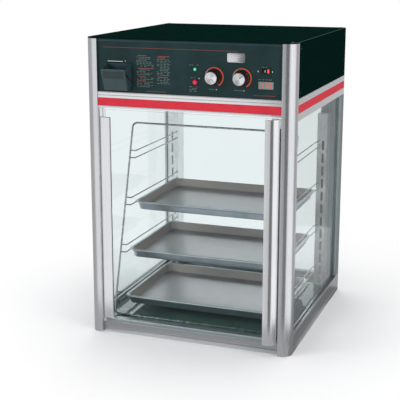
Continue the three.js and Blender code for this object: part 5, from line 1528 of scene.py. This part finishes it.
class CABINET_OT_pans(bpy.types.Operator):
    """Presses the three sheet pans with their rolled rims and round corners"""

    bl_idname = "cabinet.pans"
    bl_label = "Sheet pans"

    def execute(self, context):
        for name in ("top", "middle", "bottom"):
            low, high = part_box(f"sheet_pan_{name}")
            centre = (low + high) / 2
            half_x, half_y = (high.x - low.x) / 2, (high.y - low.y) / 2
            # The bead is rolled flat where the pan slides on its wires, and full along the front and the back.
            rings = []
            for flat, full in zip(*pan_profiles(high.z, low.z, sizes().pan_wall)):
                plans = [rounded_plan(half_x - inset, half_y - inset, max(0.004, 0.022 - inset * 0.6), centre, z)
                    for inset, z in (flat, full)]
                rings.append([
                    near.lerp(far, min(1.0, max(0.0, (half_x - FLAT_X - abs(near.x - centre.x)) / BLEND_X)))
                    for near, far in zip(*plans)])
            bm = bmesh.new()
            for key in ("rubbed_sheen", "baked"):
                bm.verts.layers.float.new(key)
            rubbed_sheen, baked = (bm.verts.layers.float[key] for key in ("rubbed_sheen", "baked"))
            for index, ring in enumerate(ring_loft(bm, rings)):
                from_end = len(rings) - index
                for vertex in ring:
                    # A pale line along the bead's upper front: partly wear, partly a painted highlight.
                    vertex[rubbed_sheen] = float(index in RUBBED_SHEEN_RINGS)
                    vertex[baked] = 0.5 if from_end < 4 else 1.0 if from_end <= 6 else 0.0
            outward_faces(bm)
            smoothed(bm, 40)
            piece(f"sheet_pan_{name}_pressed", bm, ("pan",), f"pan_{name}", (f"sheet_pan_{name}",))
        return {"FINISHED"}


# Fasteners


class CABINET_OT_fasteners(bpy.types.Operator):
    """Sets the screws of the lid, the covers and the pilasters"""

    bl_idname = "cabinet.fasteners"
    bl_label = "Fasteners"

    def execute(self, context):
        tree = screw_tree()

        def screws(name, spots, facing, share=1.0, finish_name="steel", slot="stainless"):
            values = {"Head Radius": sizes().screw * share}
            grown(name, tree, finish_name, values, mesh=point_mesh(spots, facing))

        low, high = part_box("lid")
        screws("lid_screws", [(side * (high.x - 0.012), y, high.z) for side in (-1, 1)
            for y in (low.y + 0.014, high.y - 0.012)], Z)
        low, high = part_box("head_panel_rear")
        screws("rear_cover_screws", [(x, high.y, z) for z in (low.z + 0.012, high.z - 0.012)
            for x in (low.x + 0.014, -0.09, 0.09, high.x - 0.014)], Y)
        for side, outward in (("left", -X), ("right", X)):
            low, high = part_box(f"pilaster_{side}")
            x = low.x + 0.0205 if side == "left" else high.x - 0.0205
            screws(f"{side}_strip_screws", [(x, high.y - TUCK, low.z + rise) for rise in (0.03, 0.2, 0.35, 0.5)], Y)
            low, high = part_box(f"head_panel_{side}")
            x = low.x if side == "left" else high.x
            screws(f"{side}_cover_screws", [(x, y, z) for y in (low.y + 0.016, high.y - 0.016)
                for z in (low.z + 0.014, high.z - 0.014)], outward, 0.8, "black", "black_plastic")
        return {"FINISHED"}


# Add-on

OPERATORS = (
    CABINET_OT_stage, CABINET_OT_case, CABINET_OT_ribs, CABINET_OT_glazing, CABINET_OT_head, CABINET_OT_works,
    CABINET_OT_knobs, CABINET_OT_lamps, CABINET_OT_switch, CABINET_OT_display, CABINET_OT_fill_cup,
    CABINET_OT_panel_print, CABINET_OT_door, CABINET_OT_rack, CABINET_OT_pans, CABINET_OT_fasteners,
)


class CABINET_PT_sidebar(bpy.types.Panel):
    """Lists the cabinet's settings and building steps"""

    bl_idname = "CABINET_PT_sidebar"
    bl_label = "Heated Holding Cabinet"
    bl_space_type = "VIEW_3D"
    bl_region_type = "UI"
    bl_category = "Cabinet"

    def draw(self, context):
        settings = context.scene.cabinet
        for group in (settings.sizes, settings.colours):
            box = self.layout.box()
            for name in group.bl_rna.properties.keys():
                if name not in ("rna_type", "name"):
                    box.prop(group, name)
        for operator in OPERATORS:
            self.layout.operator(operator.bl_idname)


CLASSES = (CabinetColours, CabinetSizes, CabinetSettings, *OPERATORS, CABINET_PT_sidebar)


def register():
    for cls in CLASSES:
        bpy.utils.register_class(cls)
    bpy.types.Scene.cabinet = PointerProperty(type=CabinetSettings)


def unregister():
    del bpy.types.Scene.cabinet
    for cls in reversed(CLASSES):
        bpy.utils.unregister_class(cls)


def main():
    register()
    for operator in OPERATORS:
        group, name = operator.bl_idname.split(".")
        getattr(getattr(bpy.ops, group), name)()


if __name__ == "__main__":
    main()
